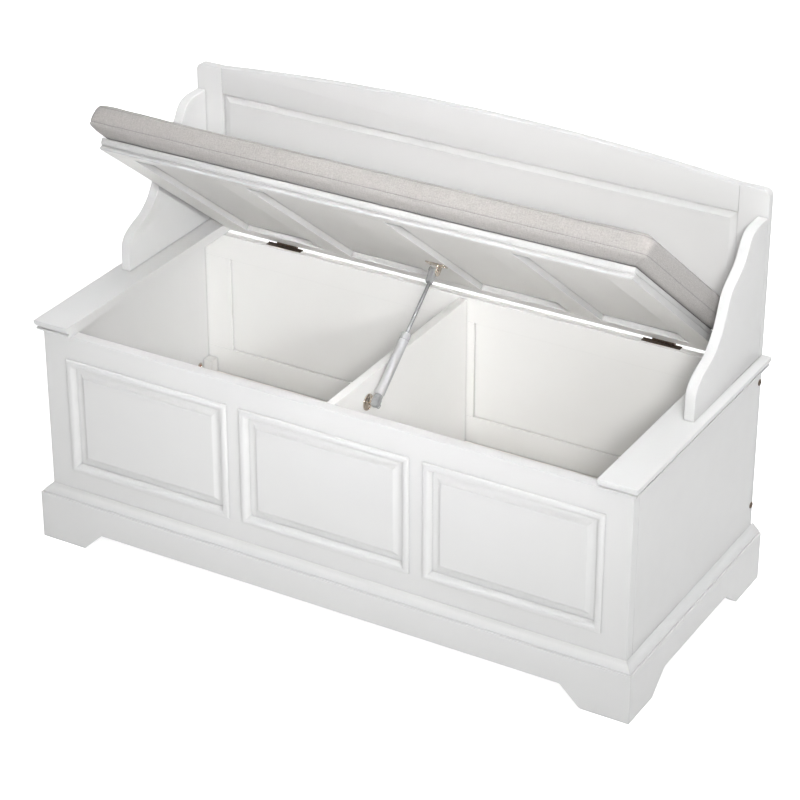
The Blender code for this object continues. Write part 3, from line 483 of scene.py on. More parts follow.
stiffeners |= {"batten_left": BATTEN_EASE, "batten_centre": BATTEN_EASE, "batten_right": BATTEN_EASE}
for board, eased in stiffeners.items():
    dress(f"lid_{board}", lid_lacquer_painted_shade, eased)
    paint_underside(nodes[f"lid_{board}"])


# Cushion: a foam pad in a boxed cover of greige linen-look cloth, sewn with a seam round the top edge.
# A second seam runs round lower down, and under it the cover is drawn in below the pad.
# It lies on the lid and moves with it.
PAD_HALF, PAD_FRONT, PAD_BACK, PAD_CORNER, PAD_BASE = 0.4920, -0.2645, 0.1640, 0.020, 0.4094
TOP_SEAM, LOW_SEAM, SEAM_DEPTH, BAND_BULGE, TUCK = 0.0425, 0.0165, 0.0012, 0.0016, 0.028
EDGE_ROUND, CROWN, CROWN_REACH = 0.0050, 0.0045, 0.15
LOW_TURN = [(0.0002, 0.0158), (0.0001, 0.0144), (0.0007, 0.0126), (0.0024, 0.0108), (0.0054, 0.0090)]
LOW_TURN += [(0.0098, 0.0070), (0.0160, 0.0042)]
PAD_MIDDLE, COLUMNS, ROWS = (PAD_BACK + PAD_FRONT) / 2, 136, 58
pad_core = np.array([PAD_HALF - PAD_CORNER, (PAD_BACK - PAD_FRONT) / 2 - PAD_CORNER])


def gathered(count):
    """Places from -1 to 1, closer together near both ends."""
    t = np.linspace(-1, 1, count + 1)
    return np.sign(t) * (1 - (1 - np.abs(t)) ** 1.35)


def rounded_sheet(inset):
    """A grid over the pad's rounded rectangle drawn in by inset: squares' corners are pulled in to a circle.

    Returns x and y, and the distance of each point from the edge.
    """
    radius = PAD_CORNER - inset
    spots = np.stack(np.meshgrid(gathered(COLUMNS), gathered(ROWS), indexing="ij"), -1) * (pad_core + radius)
    over = np.maximum(np.abs(spots) - pad_core, 0)
    pull = over.max(-1) / np.maximum(np.hypot(over[..., 0], over[..., 1]), 1e-12)
    pull = np.where((over > 0).all(-1), pull, 1.0)[..., None]
    spots = np.sign(spots) * (np.minimum(np.abs(spots), pad_core) + over * pull)
    past = np.abs(spots) - pad_core
    outside = np.hypot(*np.moveaxis(np.maximum(past, 0), -1, 0)) + np.minimum(past.max(-1), 0)
    return spots, radius - outside


def around(grid):
    """The values on a grid's border, in order round it."""
    return np.concatenate([grid[:-1, 0], grid[-1, :-1], grid[:0:-1, -1], grid[0, :0:-1]])


def cells(grid):
    """The four corner values of each cell of a grid."""
    return np.stack([grid[:-1, :-1], grid[1:, :-1], grid[1:, 1:], grid[:-1, 1:]], 2)


def pad_cover():
    """Top sheet, boxing band with two seams, and bottom sheet, with cloth lengths in metres as its UV map.

    The top rises by a quarter round at the edge and then by a slow crown; the band bulges between its seams;
    below the lower seam the cloth runs down, turns and slopes in to the flat bottom. Corners get squarer
    toward the lower seam, from a circle to a fourth-power curve.
    """
    sheet, edge = rounded_sheet(SEAM_DEPTH)
    rise = EDGE_ROUND * np.sqrt(np.maximum(1 - (1 - np.clip(edge / EDGE_ROUND, 0, 1)) ** 2, 0))
    crown = CROWN * (1 - (1 - np.clip(edge / CROWN_REACH, 0, 1)) ** 2)
    top = np.insert(sheet.reshape(-1, 2), 2, (TOP_SEAM + rise + crown).ravel(), axis=1)
    number = np.arange(edge.size).reshape(edge.shape)
    ring, rim = around(number), around(sheet)
    core = np.clip(rim, -pad_core, pad_core)
    far = np.hypot(*(rim - core).T)
    way = (rim - core) / far[:, None]
    share = np.array([0.04, 0.10, 0.20, 0.35, 0.5, 0.65, 0.80, 0.90, 0.96, 1.0])
    seam_pull = SEAM_DEPTH * np.exp(-np.minimum(share, 1 - share) / 0.05)
    out = BAND_BULGE * np.sin(math.pi * share) - seam_pull
    band = np.stack([out, TOP_SEAM + (LOW_SEAM - TOP_SEAM) * share], 1)
    under = np.vstack([LOW_TURN, [(TUCK, 0.0)]]) * (-1, 1)
    section = np.vstack([band, under])
    square = np.hstack([share**1.5, np.interp(under[:, 0], [-TUCK, 0], [0, 1])])
    square = 1 + square[:, None] * ((way**4).sum(1) ** -0.25 - 1)
    out = (far + section[:, :1] + SEAM_DEPTH) * square
    rings = (core + out[..., None] * way).reshape(-1, 2)
    rings = np.insert(rings, 2, np.repeat(section[:, 1], len(rim)), axis=1)
    inner = np.zeros(edge.shape, bool)
    inner[1:-1, 1:-1] = True
    floor = np.insert(rounded_sheet(TUCK)[0][inner], 2, 0.0, axis=1)
    points = np.vstack([top, rings, floor])
    hoops = np.vstack([ring, edge.size + np.arange(out.size).reshape(out.shape)])
    low_number = np.zeros(edge.shape, int)
    low_number[inner] = edge.size + out.size + np.arange(inner.sum())
    low_number.ravel()[ring] = hoops[-1]
    top_faces = cells(number).reshape(-1, 4)
    band_faces = cells(np.hstack([hoops, hoops[:, :1]])).reshape(-1, 4)
    floor_faces = cells(low_number).reshape(-1, 4)[:, [0, 3, 2, 1]]
    step = np.hypot(*np.diff(rim, axis=0, append=rim[:1]).T)
    along = np.hstack([0, np.cumsum(step)])
    whole = np.vstack([[(-SEAM_DEPTH, TOP_SEAM)], section])
    down = np.hstack([0, np.cumsum(np.linalg.norm(np.diff(whole, axis=0), axis=1))])
    across, fall = np.meshgrid(along, down)
    band_uv = cells(np.stack([across, -fall], -1)).reshape(-1, 2)
    uv = np.vstack([points[top_faces.ravel(), :2], band_uv, points[floor_faces.ravel(), :2]])
    seam_rows = np.hstack([ring, hoops[len(share)]])
    off_seam = np.minimum(down, np.abs(down - down[len(share)]))
    off_seam = np.hstack([edge.ravel(), np.repeat(off_seam[1:], len(rim)), np.ones(inner.sum())])
    return points, np.vstack([top_faces, band_faces, floor_faces]), uv, seam_rows, off_seam


points, faces, uv, seams, off_seam = pad_cover()
pad_mesh = bpy.data.meshes.new("pad")
pad_mesh.from_pydata(points.tolist(), [], faces.tolist())
pad_mesh.uv_layers.new(name="cloth").data.foreach_set("uv", uv.ravel())
pad_mesh.attributes.new("off_seam", "FLOAT", "POINT").data.foreach_set("value", off_seam)
pad_mesh.polygons.foreach_set("use_smooth", np.ones(len(faces), bool))
pad = placed("seat_cushion", pad_mesh)


def vertex_places(mesh):
    """The places of a mesh's vertices."""
    places = np.zeros(len(mesh.vertices) * 3)
    mesh.vertices.foreach_get("co", places)
    return places.reshape(-1, 3)


def puff(pad, held, most):
    """Blows the cover up with cloth simulation: held points stay, and no point moves further than most."""
    rest = vertex_places(pad.data)
    group = pad.vertex_groups.new(name="held")
    group.add(held.tolist(), 1.0, "REPLACE")
    cloth = pad.modifiers.new("puff", "CLOTH")
    settings = {"quality": 4, "tension_stiffness": 20.0, "compression_stiffness": 20.0}
    settings |= {"bending_stiffness": 1.0, "use_pressure": True, "uniform_pressure_force": 3.0}
    for key, value in settings.items():
        setattr(cloth.settings, key, value)
    cloth.settings.vertex_group_mass = group.name
    cloth.settings.effector_weights.gravity = 0.0
    cloth.collision_settings.use_collision = False
    scene = bpy.context.scene
    for moment in range(1, 21):
        scene.frame_set(moment)
    blown = pad.evaluated_get(bpy.context.evaluated_depsgraph_get()).to_mesh()
    drift = vertex_places(blown) - rest
    pad.modifiers.remove(cloth)
    pad.vertex_groups.remove(group)
    scene.frame_set(1)
    length = np.linalg.norm(drift, axis=1, keepdims=True)
    drift *= np.minimum(1, most / np.maximum(length, 1e-9))
    pad.data.vertices.foreach_set("co", (rest + drift).ravel())


MOST_PUFF, BOTTOM = 0.0018, 0.0005
bottom = np.flatnonzero(points[:, 2] < BOTTOM)
puff(pad, np.hstack([bottom, seams]), MOST_PUFF)
shape = vertex_places(pad_mesh)
shape[:, 2] = np.maximum(shape[:, 2], 0)
pad_mesh.vertices.foreach_set("co", lift(shape + (0, PAD_MIDDLE, PAD_BASE)).ravel())
pad_mesh.update()
finer = pad.modifiers.new("finer", "SUBSURF")
finer.levels = finer.render_levels = 1
THREAD_PITCH, THREAD_WANDER, THREAD_DEPTH = 0.0011, 0.0009, 0.0005
FOLD_SHADE_REACH, SEAM_INNER, SEAM_OUTER = 0.020, 0.0003, 0.0014


def plain_weave():
    """Threads over and under: each is a round ridge that rises and dips on its way, warp against weft."""
    tree, start, end = effect_group("plain_weave", {"Pitch": THREAD_PITCH}, ["Height", "Slub", "Mottle"])
    cloth = shader_node(tree, "UVMap", uv_map="cloth").outputs["UV"]
    wander = shader_node(tree, "TexNoise", {"Vector": cloth, "Scale": 90.0, "Detail": 2.0}).outputs["Color"]
    shaken = shader_node(tree, "VectorMath", {0: wander, 1: (0.5, 0.5, 0.5)}, operation="SUBTRACT").outputs[0]
    shaken = scaled(tree, shaken, THREAD_WANDER)
    waved = shader_node(tree, "VectorMath", {0: cloth, 1: shaken}, operation="ADD").outputs[0]
    thread = scaled(tree, waved, reckon(tree, "DIVIDE", 1.0, start.outputs["Pitch"]))
    split = shader_node(tree, "SeparateXYZ", {0: thread})
    ridges = []
    for one, other, late in ((0, 1, 0.0), (1, 0, math.pi)):
        mine, cross = split.outputs[one], split.outputs[other]
        ridge = reckon(tree, "ABSOLUTE", reckon(tree, "SINE", reckon(tree, "MULTIPLY", mine, math.pi)))
        odd = reckon(tree, "MULTIPLY", reckon(tree, "FLOOR", mine), math.pi)
        phase = reckon(tree, "ADD", reckon(tree, "MULTIPLY", cross, math.pi), reckon(tree, "ADD", odd, late))
        dip = reckon(tree, "MULTIPLY_ADD", reckon(tree, "SINE", phase), 0.35)
        dip.node.inputs[2].default_value = 0.65
        ridges.append(reckon(tree, "MULTIPLY", ridge, dip))
    tree.links.new(reckon(tree, "MAXIMUM", *ridges), end.inputs["Height"])
    streaks = []
    for stretch in ((60.0, 900.0, 1.0), (900.0, 60.0, 1.0)):
        long = shader_node(tree, "Mapping", {"Vector": cloth, "Scale": stretch})
        streaks.append(noise(tree, long.outputs[0], 1.0, 3.0))
    tree.links.new(reckon(tree, "MULTIPLY", reckon(tree, "ADD", *streaks), 0.5), end.inputs["Slub"])
    tree.links.new(noise(tree, cloth, 380.0, 3.0, 0.7), end.inputs["Mottle"])
    return tree


linen, tree, skin = new_material("greige_linen")
weave = shader_node(tree, "Group", node_tree=plain_weave())
weave.inputs["Pitch"].default_value = THREAD_PITCH
yarn = between_colours(tree, weave.outputs["Slub"], (0.35, 0.329, 0.314), (0.66, 0.631, 0.611))
patch = between_colours(tree, weave.outputs["Mottle"], (0.37, 0.351, 0.336), (0.64, 0.614, 0.595))
blend = shader_node(tree, "Mix", {0: 0.5, 6: yarn, 7: patch}, data_type="RGBA").outputs[2]
# Painted shade: the cloth's colour darkens in the hollows between threads, along the seam grooves, and where
# the cover turns under near the lid.
pit = ramp(tree, weave.outputs["Height"], 0.0, 0.8, 0.58, 0.98)
from_seam = shader_node(tree, "Attribute", attribute_name="off_seam").outputs["Fac"]
seam_painted_shade = ramp(tree, from_seam, SEAM_INNER, SEAM_OUTER, 0.70, 1.0, interpolation_type="SMOOTHSTEP")
open_sky = shader_node(tree, "AmbientOcclusion", {"Distance": FOLD_SHADE_REACH}, samples=6).outputs["AO"]
fold = ramp(tree, open_sky, 0.15, 0.85, 0.45, 1.0)
dark = reckon(tree, "MULTIPLY", reckon(tree, "MULTIPLY", pit, seam_painted_shade), fold)
tree.links.new(scaled(tree, blend, dark), skin.inputs["Base Color"])
cloth_look = {"Roughness": 0.92, "Sheen Weight": 0.25, "Sheen Roughness": 0.5, "Specular IOR Level": 0.2}
for label, value in cloth_look.items():
    skin.inputs[label].default_value = value
thick = {0: weave.outputs["Slub"], 1: 0.6, 2: weave.outputs["Height"]}
thick = shader_node(tree, "Math", thick, operation="MULTIPLY_ADD").outputs[0]
roughen(tree, skin, thick, 0.55, THREAD_DEPTH)
fit_piece(pad, linen, "lid", "linen_weave", "cushion")


# Back-flap hinges: bronzed steel leaves on the rear of the back rail and of the lid, five knuckles and a pin.
# The box leaf folds over the rail's top edge, and countersunk cross-head screws hold the leaves.
def speckled(name, low, high, rough, grain, gloss_grain=None, metallic=0.0, stretch=None, bump=0.0):
    """Colour follows one noise, gloss and bump it or another; a grain is scale, detail and roughness."""
    made, tree, skin = new_material(name)
    spot = shader_node(tree, "TexCoord").outputs["Object"]
    if stretch:
        spot = shader_node(tree, "Mapping", {"Vector": spot, "Scale": stretch}).outputs[0]
    colour = noise(tree, spot, *grain)
    gloss = noise(tree, spot, *gloss_grain) if gloss_grain else colour
    tree.links.new(between_colours(tree, colour, low, high), skin.inputs["Base Color"])
    tree.links.new(between(tree, gloss, *rough), skin.inputs["Roughness"])
    skin.inputs["Metallic"].default_value = metallic
    if bump:
        roughen(tree, skin, gloss, bump, 0.0002)
    return made


BRONZE, PATINA = ((0.045, 0.033, 0.026), (0.19, 0.135, 0.10)), (420.0, 5.0, 0.6)
bronze = speckled("bronzed_steel", *BRONZE, (0.30, 0.48), PATINA, metallic=0.9, bump=0.15)
for side in ("left", "right"):
    for part in ("hinge_box_leaf", "hinge_lid_leaf"):
        dress(f"{part}_{side}", bronze, 0.0002)
    dress(f"hinge_pin_{side}", bronze, 0.0003, 50.0)
SLOT_HALF, SLOT_REACH = 0.00055, 0.0021


def turned(section, count, slots=0.0):
    """A body of revolution: radius and height carried round an axis; slots sink a cross into its top."""
    radius, height = np.asarray(section, float).T
    angle = np.linspace(0, 2 * math.pi, count, endpoint=False)
    x, y = radius[:, None] * np.cos(angle), radius[:, None] * np.sin(angle)
    z = np.repeat(height[:, None], count, 1)
    if slots:
        arm = np.minimum(np.abs(x), np.abs(y)) < SLOT_HALF
        inside = np.hypot(x, y) < SLOT_REACH
        z = np.where(arm & inside, z - slots, z)
    return np.stack([x, y, z], -1)


def flat(line, z):
    """A line of x and y at one height."""
    return np.insert(line, 2, z, axis=1)


SCREW_RADIUS, SCREW_RISE, SCREW_FALL, SCREW_SLOT = 0.003, 0.00012, 0.00005, 0.0009
head_radius = np.linspace(0.0002, SCREW_RADIUS, 15)
screw_top = np.stack([head_radius, SCREW_RISE - SCREW_FALL * (head_radius / SCREW_RADIUS) ** 4], 1)
screw_section = np.vstack([screw_top, [(0.0031, -0.0004), (0.0020, -0.0010)]])
screw_head = turned(screw_section, 40, slots=SCREW_SLOT)
rearward = screw_head[..., [0, 2, 1]] * (-1, 1, 1)
HINGE_MIDDLE, SCREW_SPACING, LEAF_FACE, BOX_SCREW_Z, LID_SCREW_Z = 0.3595, 0.0235, 0.23585, 0.3805, 0.3965
FOLD_HALF, FOLD_FRONT, FOLD_REAR, FOLD_SCREW_Y = 0.0348, 0.2254, 0.2341, 0.2299
FOLD_UNDER, RIM_TOP, FOLD_ROUND = 0.3893, 0.39008, 0.0001
for side, sign in SIDES:
    middle = sign * HINGE_MIDDLE
    for number, step in enumerate((-1, 0, 1), 1):
        x = middle + step * SCREW_SPACING
        piece = ring_piece(f"hinge_screw_box_{side}_{number}", rearward + (x, LEAF_FACE, BOX_SCREW_Z))
        fit_piece(piece, bronze, "case", "bronzed_steel")
        if step:
            rings = lift(rearward + (x, LEAF_FACE, LID_SCREW_Z))
            piece = ring_piece(f"hinge_screw_lid_{side}_{number}", rings)
            fit_piece(piece, bronze, "lid", "bronzed_steel")
    x0, x1 = middle - FOLD_HALF, middle + FOLD_HALF
    fold_edge = [(x0, FOLD_FRONT), (x1, FOLD_FRONT), (x1, FOLD_REAR), (x0, FOLD_REAR)]
    piece = slab(fold_edge, FOLD_UNDER, RIM_TOP, FOLD_ROUND, flat, f"hinge_fold_{side}")
    fit_piece(piece, bronze, "case", "bronzed_steel")
    for number, step in enumerate((-1, 1), 1):
        rings = screw_head + (middle + step * SCREW_SPACING, FOLD_SCREW_Y, RIM_TOP)
        piece = ring_piece(f"hinge_screw_fold_{side}_{number}", rings)
        fit_piece(piece, bronze, "case", "bronzed_steel")


# Gas strut: a lacquered steel cylinder with a rolled groove and crimped ends, and a polished rod in it.
# Moulded sockets snap over ball studs on a round bracket on the divider and an angle bracket on the lid.
STRUT_X, LOW_Y, LOW_Z, SPAN, LEAN = 0.021, -0.10575, 0.34515, 0.24435, math.radians(39.023)
TUBE_START, TUBE_LENGTH, TUBE_RADIUS, CRIMP_RADIUS, CRIMP_RISE = 0.0168, 0.1117, 0.0083, 0.0066, 0.0022
GROOVE, GROOVE_DROP, HEAD_ROUND, HEAD_FLAT, RECESS = 0.0012, 0.0125, 0.0013, 0.0072, 0.0030
BORE, THROAT = 0.0034, 0.0048
TUBE_END = TUBE_START + TUBE_LENGTH


def on_strut(points):
    """Turns points given along an upright strut, from its lower ball, to the strut's own line."""
    x, y, z = np.moveaxis(np.asarray(points, float), -1, 0)
    c, s = math.cos(LEAN), math.sin(LEAN)
    return np.stack([STRUT_X + x, LOW_Y + y * s + z * c, LOW_Z - y * c + z * s], -1)


SILVER, FLAKE, HAZE = ((0.47, 0.475, 0.485), (0.57, 0.575, 0.585)), (2600.0, 1.0), (60.0, 3.0)
silver = speckled("silver_lacquer", *SILVER, (0.46, 0.56), FLAKE, HAZE, metallic=0.25)
crimp_radius = CRIMP_RADIUS + (TUBE_RADIUS - CRIMP_RADIUS) * np.sin(quarter)
crimp = np.stack([crimp_radius, TUBE_START + CRIMP_RISE * (1 - np.cos(quarter))], 1)
roll = np.linspace(0, math.pi, 9)
groove_height = TUBE_END - GROOVE_DROP + GROOVE * (2 * roll / math.pi - 1)
groove = np.stack([TUBE_RADIUS - GROOVE * np.sin(roll), groove_height], 1)
head_radius = HEAD_FLAT + (TUBE_RADIUS - HEAD_FLAT) * np.cos(quarter)
head = np.stack([head_radius, TUBE_END - HEAD_ROUND * (1 - np.sin(quarter))], 1)
throat = [(THROAT, TUBE_END - 0.0004), (THROAT, TUBE_END - RECESS), (BORE, TUBE_END - RECESS)]
tube_foot, tube_inside = [(0.0040, TUBE_START), (CRIMP_RADIUS, TUBE_START)], [(BORE, TUBE_START + 0.008)]
tube_section = np.vstack([tube_foot, crimp, groove, head, throat, tube_inside])
piece = ring_piece("strut_tube", on_strut(turned(tube_section, 48)), crease=40.0)
fit_piece(piece, silver, "strut_cylinder", "silver_lacquer", "strut_cylinder")

STEEL, DRAWN = ((0.27, 0.275, 0.28), (0.38, 0.385, 0.39)), (40.0, 900.0, 900.0)
rod_steel = speckled("polished_rod", *STEEL, (0.34, 0.46), (2.0, 4.0), metallic=1.0, stretch=DRAWN)
ROD_RADIUS, ROD_LOW, ROD_HIGH, ROD_CHAMFER = 0.0029, TUBE_END - 0.012, SPAN - 0.0223, 0.0006
rod_section = [(0.0026, ROD_LOW), (ROD_RADIUS, ROD_LOW + ROD_CHAMFER), (ROD_RADIUS, ROD_HIGH)]
piece = ring_piece("strut_piston_rod", on_strut(turned(rod_section, 32)))
fit_piece(piece, rod_steel, "strut_rod", "polished_rod", "strut_rod")

GREY, TONE, MOULD = ((0.26, 0.265, 0.27), (0.36, 0.365, 0.37)), (110.0, 2.0), (1500.0, 3.0)
nylon = speckled("grey_nylon", *GREY, (0.36, 0.50), TONE, MOULD, bump=0.2)
SOCKET_HALF, CUP_REACH, FOOT_FAR, HEAD_FAR = 0.0072, 0.0053, 0.0165, SPAN - 0.022
CLIP_RADIUS, CLIP_WIRE, CLIP_TURN, CLIP_FOOT, CLIP_HEAD = 0.0060, 0.0007, 2.2, 0.0072, -0.0080


def ball_socket(name, pivot, far, left, right):
    """Rounded squares along the strut: a neck at the far end swells to a cup that closes round the ball."""
    way = math.copysign(1, far - pivot)
    place = np.array([0.0, 0.10, 0.30, 0.34, 0.50, 0.68, 0.80, 0.89, 0.95, 0.985, 1.0])
    width = np.array([0.80, 0.86, 0.86, 0.94, 1.0, 1.0, 0.96, 0.84, 0.64, 0.36, 0.12]) * SOCKET_HALF
    thick = np.array([0.84, 0.90, 0.90, 0.97, 1.0, 1.0, 0.98, 0.90, 0.74, 0.44, 0.16])
    z = far + (pivot - way * CUP_REACH - far) * place
    angle = np.linspace(0, 2 * math.pi, 40, endpoint=False)
    c, s = np.cos(angle), np.sin(angle)
    square = (np.abs(c) ** 4 + np.abs(s) ** 4) ** -0.25
    across = c * square * np.where(c < 0, left, right)
    rings = [thick[:, None] * across, width[:, None] * s * square, np.repeat(z[:, None], 40, 1)]
    return ring_piece(name, on_strut(np.stack(rings, -1)), crease=50.0)


def clip_wire(name, pivot, far, at):
    """A spring clip: round wire bent in an arc round the socket, its angle from one end to the other."""
    way = math.copysign(1, far - pivot)
    arc = np.linspace(-CLIP_TURN, CLIP_TURN, 33)
    y, z = CLIP_RADIUS * np.sin(arc), pivot - way * CLIP_RADIUS * np.cos(arc) * 0.9
    path = np.stack([np.full_like(arc, at), y, z], 1)
    out = np.stack([np.zeros_like(arc), np.sin(arc), -way * np.cos(arc)], 1)
    turn = np.linspace(0, 2 * math.pi, 10, endpoint=False)[None, :, None]
    rings = path[:, None] + CLIP_WIRE * (np.cos(turn) * out[:, None] + np.sin(turn) * np.array((1.0, 0, 0)))
    return ring_piece(name, on_strut(rings), crease=60.0)


piece = ball_socket("strut_foot_socket", 0.0, FOOT_FAR, 0.0062, 0.0072)
fit_piece(piece, nylon, "strut_cylinder", "grey_nylon", "strut_lower_socket")
piece = ball_socket("strut_head_socket", SPAN, HEAD_FAR, 0.0080, 0.0043)
fit_piece(piece, nylon, "strut_rod", "grey_nylon", "strut_upper_socket")
piece = clip_wire("strut_foot_clip", 0.0, FOOT_FAR, CLIP_FOOT)
fit_piece(piece, rod_steel, "strut_cylinder", "polished_rod")
piece = clip_wire("strut_head_clip", SPAN, HEAD_FAR, CLIP_HEAD)
fit_piece(piece, rod_steel, "strut_rod", "polished_rod")

NICKEL = ((0.50, 0.43, 0.36), (0.68, 0.61, 0.53))
nickel = speckled("warm_nickel", *NICKEL, (0.18, 0.30), (260.0, 4.0), metallic=1.0)


def sideways(points, place, facing=1):
    """A body of revolution laid on its side at a place, its top toward plus or minus x."""
    x, y, z = np.moveaxis(points, -1, 0)
    return np.stack([place[0] + facing * z, place[1] + x, place[2] + y], -1)


DIVIDER_FACE, FLANGE_RADIUS, FLANGE_LIP, FLANGE_THICK = 0.0078, 0.0140, 0.0009, 0.0020
SCREW_CIRCLE, SMALL, SMALL_RISE, SMALL_SLOT = 0.0108, 0.72, 0.0004, 0.0006
flange_round = np.stack([0.0126 + 0.0014 * np.cos(quarter), FLANGE_LIP + 0.0011 * np.sin(quarter)], 1)
flange_foot = [(0.0002, 0.0), (FLANGE_RADIUS, 0.0), (FLANGE_RADIUS, FLANGE_LIP)]
dome = [(0.0085, 0.0021), (0.0078, 0.0026), (0.0070, 0.0032), (0.0048, 0.0035)]
stud = [(0.0040, 0.0040), (0.0040, 0.0083), (0.0002, 0.0084)]
boss = turned(np.vstack([flange_foot, flange_round, dome, stud]), 48)
piece = ring_piece("strut_round_bracket", sideways(boss, (DIVIDER_FACE, LOW_Y, LOW_Z)), crease=40.0)
fit_piece(piece, nickel, "case", "nickel_plate", "strut_lower_bracket")
small_screw = turned(screw_section * SMALL + (0, SMALL_RISE), 40, slots=SMALL_SLOT)
for number, angle in enumerate((0.6, 2.7, 4.8), 1):
    y, z = LOW_Y + SCREW_CIRCLE * math.cos(angle), LOW_Z + SCREW_CIRCLE * math.sin(angle)
    rings = sideways(small_screw, (DIVIDER_FACE + FLANGE_THICK, y, z))
    piece = ring_piece(f"bracket_screw_divider_{number}", rings)
    fit_piece(piece, nickel, "case", "nickel_plate")
PLATE_FACE, PLATE_BACK, PLATE_MIDDLE, PLATE_X = 0.3884, 0.3900, HINGE_Y - 0.190, 0.0205
PLATE_HALF, PLATE_ROUND = (0.0185, 0.0105), 0.0004
EAR_FACE, EAR_THICK, EAR_FOOT, PIVOT_DROP = 0.0258, 0.0020, 0.0095, 0.0117
PLATE_SCREWS = ((0.0065, -0.0055), (0.0065, 0.0055), (0.0350, 0.0))
wide = np.linspace(0, 2 * math.pi, 48, endpoint=False)
oval = np.sign([np.cos(wide), np.sin(wide)]) * np.abs([np.cos(wide), np.sin(wide)]) ** 0.4
plate_edge = oval.T * PLATE_HALF + (PLATE_X, PLATE_MIDDLE)
piece = slab(
    plate_edge, PLATE_FACE, PLATE_BACK, PLATE_ROUND, lambda line, z: lift(flat(line, z)), "strut_lid_plate"
)
fit_piece(piece, nickel, "lid", "nickel_plate", "strut_upper_bracket")
half_turn = np.linspace(0, -math.pi, 17)
ear_round = np.stack([0.0085 * np.cos(half_turn), 0.0075 * np.sin(half_turn) - PIVOT_DROP], 1)
ear_foot = [(-EAR_FOOT, PLATE_FACE - HINGE_Z), (EAR_FOOT, PLATE_FACE - HINGE_Z)]
ear_edge = np.vstack([ear_round, ear_foot]) + (PLATE_MIDDLE, HINGE_Z)
piece = slab(ear_edge, EAR_FACE, EAR_FACE + EAR_THICK, PLATE_ROUND, lifted_across, "strut_lid_ear")
fit_piece(piece, nickel, "lid", "nickel_plate")
for number, (x, y) in enumerate(PLATE_SCREWS, 1):
    rings = small_screw * (1, -1, -1) + (x, PLATE_MIDDLE + y, PLATE_FACE)
    piece = ring_piece(f"bracket_screw_lid_{number}", lift(rings))
    fit_piece(piece, nickel, "lid", "nickel_plate")
rivet_section = [(0.0002, 0.0016), (0.0014, 0.0015), (0.0024, 0.0011), (0.0030, 0.0004), (0.0031, 0.0)]
rivet_section += [(0.0002, 0.0)]
rivet = sideways(turned(rivet_section, 32), (EAR_FACE + EAR_THICK, PLATE_MIDDLE, HINGE_Z - PIVOT_DROP))
piece = ring_piece("bracket_rivet", lift(rivet), crease=50.0)
fit_piece(piece, nickel, "lid", "nickel_plate")


# Case bolts: domed connector bolts with a hexagon socket, driven through each end into the back rails.
# Inside, at the foot of each end, a flat bolt head with a plastic plug holds the corner block.
def bolt_head(face, sign, y, z):
    """A dome with a six-sided pit: the pit's radius follows a hexagon, and the dome falls to the rim."""
    angle = np.linspace(0, 2 * math.pi, 48, endpoint=False)
    hexagon = 0.0019 / np.cos((angle + math.pi / 6) % (math.pi / 3) - math.pi / 6)
    dome = np.array([0.0034, 0.0044, 0.0051, 0.0055, 0.0055, 0.0010])
    dome = np.repeat(dome[:, None], len(angle), 1)
    radius = np.vstack([hexagon * 0.05, hexagon, hexagon, hexagon + 0.0003, dome])
    rise = np.array([0.0002, 0.0002, 0.0016, 0.0018, 0.0017, 0.0014, 0.0010, 0.0004, 0.0, 0.0])[:, None]
    x = np.broadcast_to(face + sign * rise, radius.shape)
    return np.stack([x, y + radius * np.cos(angle), z + radius * np.sin(angle)], -1)


BOLT_Y, BOLT_HEIGHTS, CASE_HALF = 0.22675, {"upper": 0.368, "lower": 0.1415}, 0.534
for side, sign in SIDES:
    for level, height in BOLT_HEIGHTS.items():
        rings = bolt_head(sign * (CASE_HALF + TOUCH), sign, BOLT_Y, height)
        piece = ring_piece(f"bolt_head_{side}_{level}", rings, crease=35.0)
        fit_piece(piece, bronze, "case", "bronzed_steel", f"case_bolt_{side}_{level}")
INNER_FACE, CORNER_BOLT_Y, CORNER_BOLT_Z = 0.5177, 0.189, 0.134
copper = speckled("copper_plug", (0.30, 0.075, 0.045), (0.48, 0.16, 0.10), (0.35, 0.5), (500.0, 4.0))
ring_section = [(0.0036, 0.0006), (0.0042, 0.0012), (0.0056, 0.0013), (0.0066, 0.0008), (0.0068, 0.0)]
ring_section += [(0.0036, 0.0)]
plug_section = [(0.0002, 0.0008), (0.0028, 0.0008), (0.0035, 0.0004), (0.0035, 0.0), (0.0002, 0.0)]
for side, sign in SIDES:
    for name, section, material in (("ring", ring_section, nickel), ("plug", plug_section, copper)):
        at = (sign * INNER_FACE, CORNER_BOLT_Y, CORNER_BOLT_Z)
        rings = sideways(turned(section, 32), at, facing=-sign)
        piece = ring_piece(f"corner_bolt_{name}_{side}", rings, crease=40.0, hoop=name == "ring")
        fit_piece(piece, material, "case", "nickel_plate")


# Studio: a pale floor that keeps the bench's shadow, and a white surround that sheds more light from behind.
# Two soft lamps, two gridded ones and the photograph's camera stand round the bench.
FLOOR_HALF, FLOOR_WHITE, FLOOR_GLOW = 9.0, (0.92, 0.92, 0.92, 1.0), 0.74
WHITE, BEHIND_WAY, WALL_FRONT, WALL_BEHIND = (1.0, 1.0, 1.0, 1.0), (-0.6, 0.8, 0.0), 0.20, 0.85
floor_corners = np.array([(-1, -1, 0), (1, -1, 0), (1, 1, 0), (-1, 1, 0)]) * FLOOR_HALF
floor_mesh = bpy.data.meshes.new("studio_floor")
floor_mesh.from_pydata(floor_corners.tolist(), [], [(0, 1, 2, 3)])
studio_floor = placed("studio_floor", floor_mesh)
pale, tree, skin = new_material("studio_floor")
tree.nodes.remove(skin)
rays = shader_node(tree, "LightPath")
seen = reckon(tree, "MAXIMUM", rays.outputs["Is Camera Ray"], rays.outputs["Is Glossy Ray"])
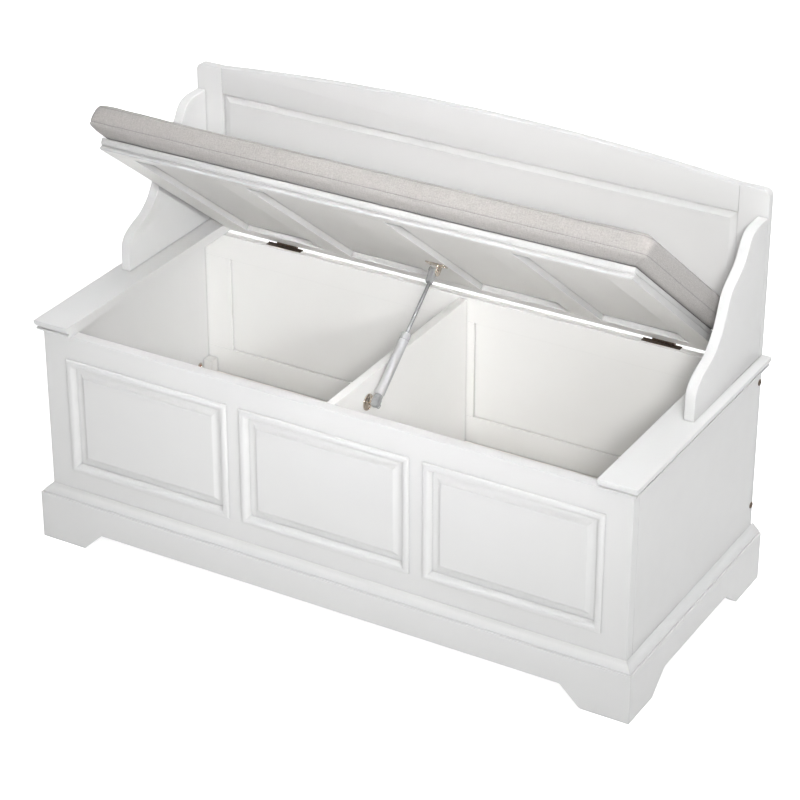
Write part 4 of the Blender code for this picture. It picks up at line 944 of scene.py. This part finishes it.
matt = shader_node(tree, "BsdfDiffuse", {"Color": FLOOR_WHITE})
glow = {"Color": WHITE, "Strength": reckon(tree, "MULTIPLY", seen, FLOOR_GLOW)}
glow = shader_node(tree, "Emission", glow)
both = shader_node(tree, "AddShader", {0: matt.outputs[0], 1: glow.outputs[0]})
tree.links.new(both.outputs[0], tree.nodes["Material Output"].inputs["Surface"])
floor_mesh.materials.append(pale)

world = bpy.data.worlds.new("studio")
bpy.context.scene.world = world
world.use_nodes = True
tree = world.node_tree
rays = shader_node(tree, "LightPath")
seen = reckon(tree, "MAXIMUM", rays.outputs["Is Camera Ray"], rays.outputs["Is Glossy Ray"])
seen = reckon(tree, "MAXIMUM", seen, rays.outputs["Is Transmission Ray"])
way = shader_node(tree, "TexCoord").outputs["Generated"]
behind = shader_node(tree, "VectorMath", {0: way, 1: BEHIND_WAY}, operation="DOT_PRODUCT").outputs["Value"]
wall = ramp(tree, behind, -0.1, 1.0, WALL_FRONT, WALL_BEHIND)
tree.links.new(ramp(tree, seen, 0.0, 1.0, wall, 1.0), tree.nodes["Background"].inputs["Strength"])
tree.nodes["Background"].inputs["Color"].default_value = WHITE


def soft_lamp(name, place, target, size, power, spread=180.0):
    """A square area lamp that faces a target; a grid on it narrows its spread."""
    lamp = bpy.data.lights.new(name, "AREA")
    lamp.size = size
    lamp.energy = power
    lamp.spread = math.radians(spread)
    made = placed(name, lamp)
    made.location = place
    toward = np.array(target, float) - place
    tilt = math.acos(-toward[2] / np.linalg.norm(toward))
    made.rotation_euler = (tilt, 0.0, math.atan2(toward[0], -toward[1]) + math.pi)


soft_lamp("overhead_softbox", (1.2, -0.8, 4.8), (0.0, 0.0, 0.40), 3.0, 98.0)
soft_lamp("gridded_softbox", (2.6, -4.0, 3.0), (0.17, 0.24, 0.76), 0.9, 6.7, 29.0)
soft_lamp("gridded_spot", (3.4, -2.6, 2.2), (-0.45, 0.10, 0.34), 0.4, 0.62, 14.0)
soft_lamp("low_card", (0.2, -2.8, 0.30), (0.0, 0.0, 0.50), 1.6, 5.0)

lens = bpy.data.cameras.new("camera")
lens.sensor_width = 36.0
lens.lens = 124.4
lens.clip_end = 60.0
camera = placed("camera", lens)
camera.location = (1.9854, -3.4045, 2.4460)
camera.rotation_euler = (math.radians(61.395), 0.0, math.radians(30.18))
bpy.context.scene.camera = camera
bpy.context.scene.view_settings.view_transform = "Standard"
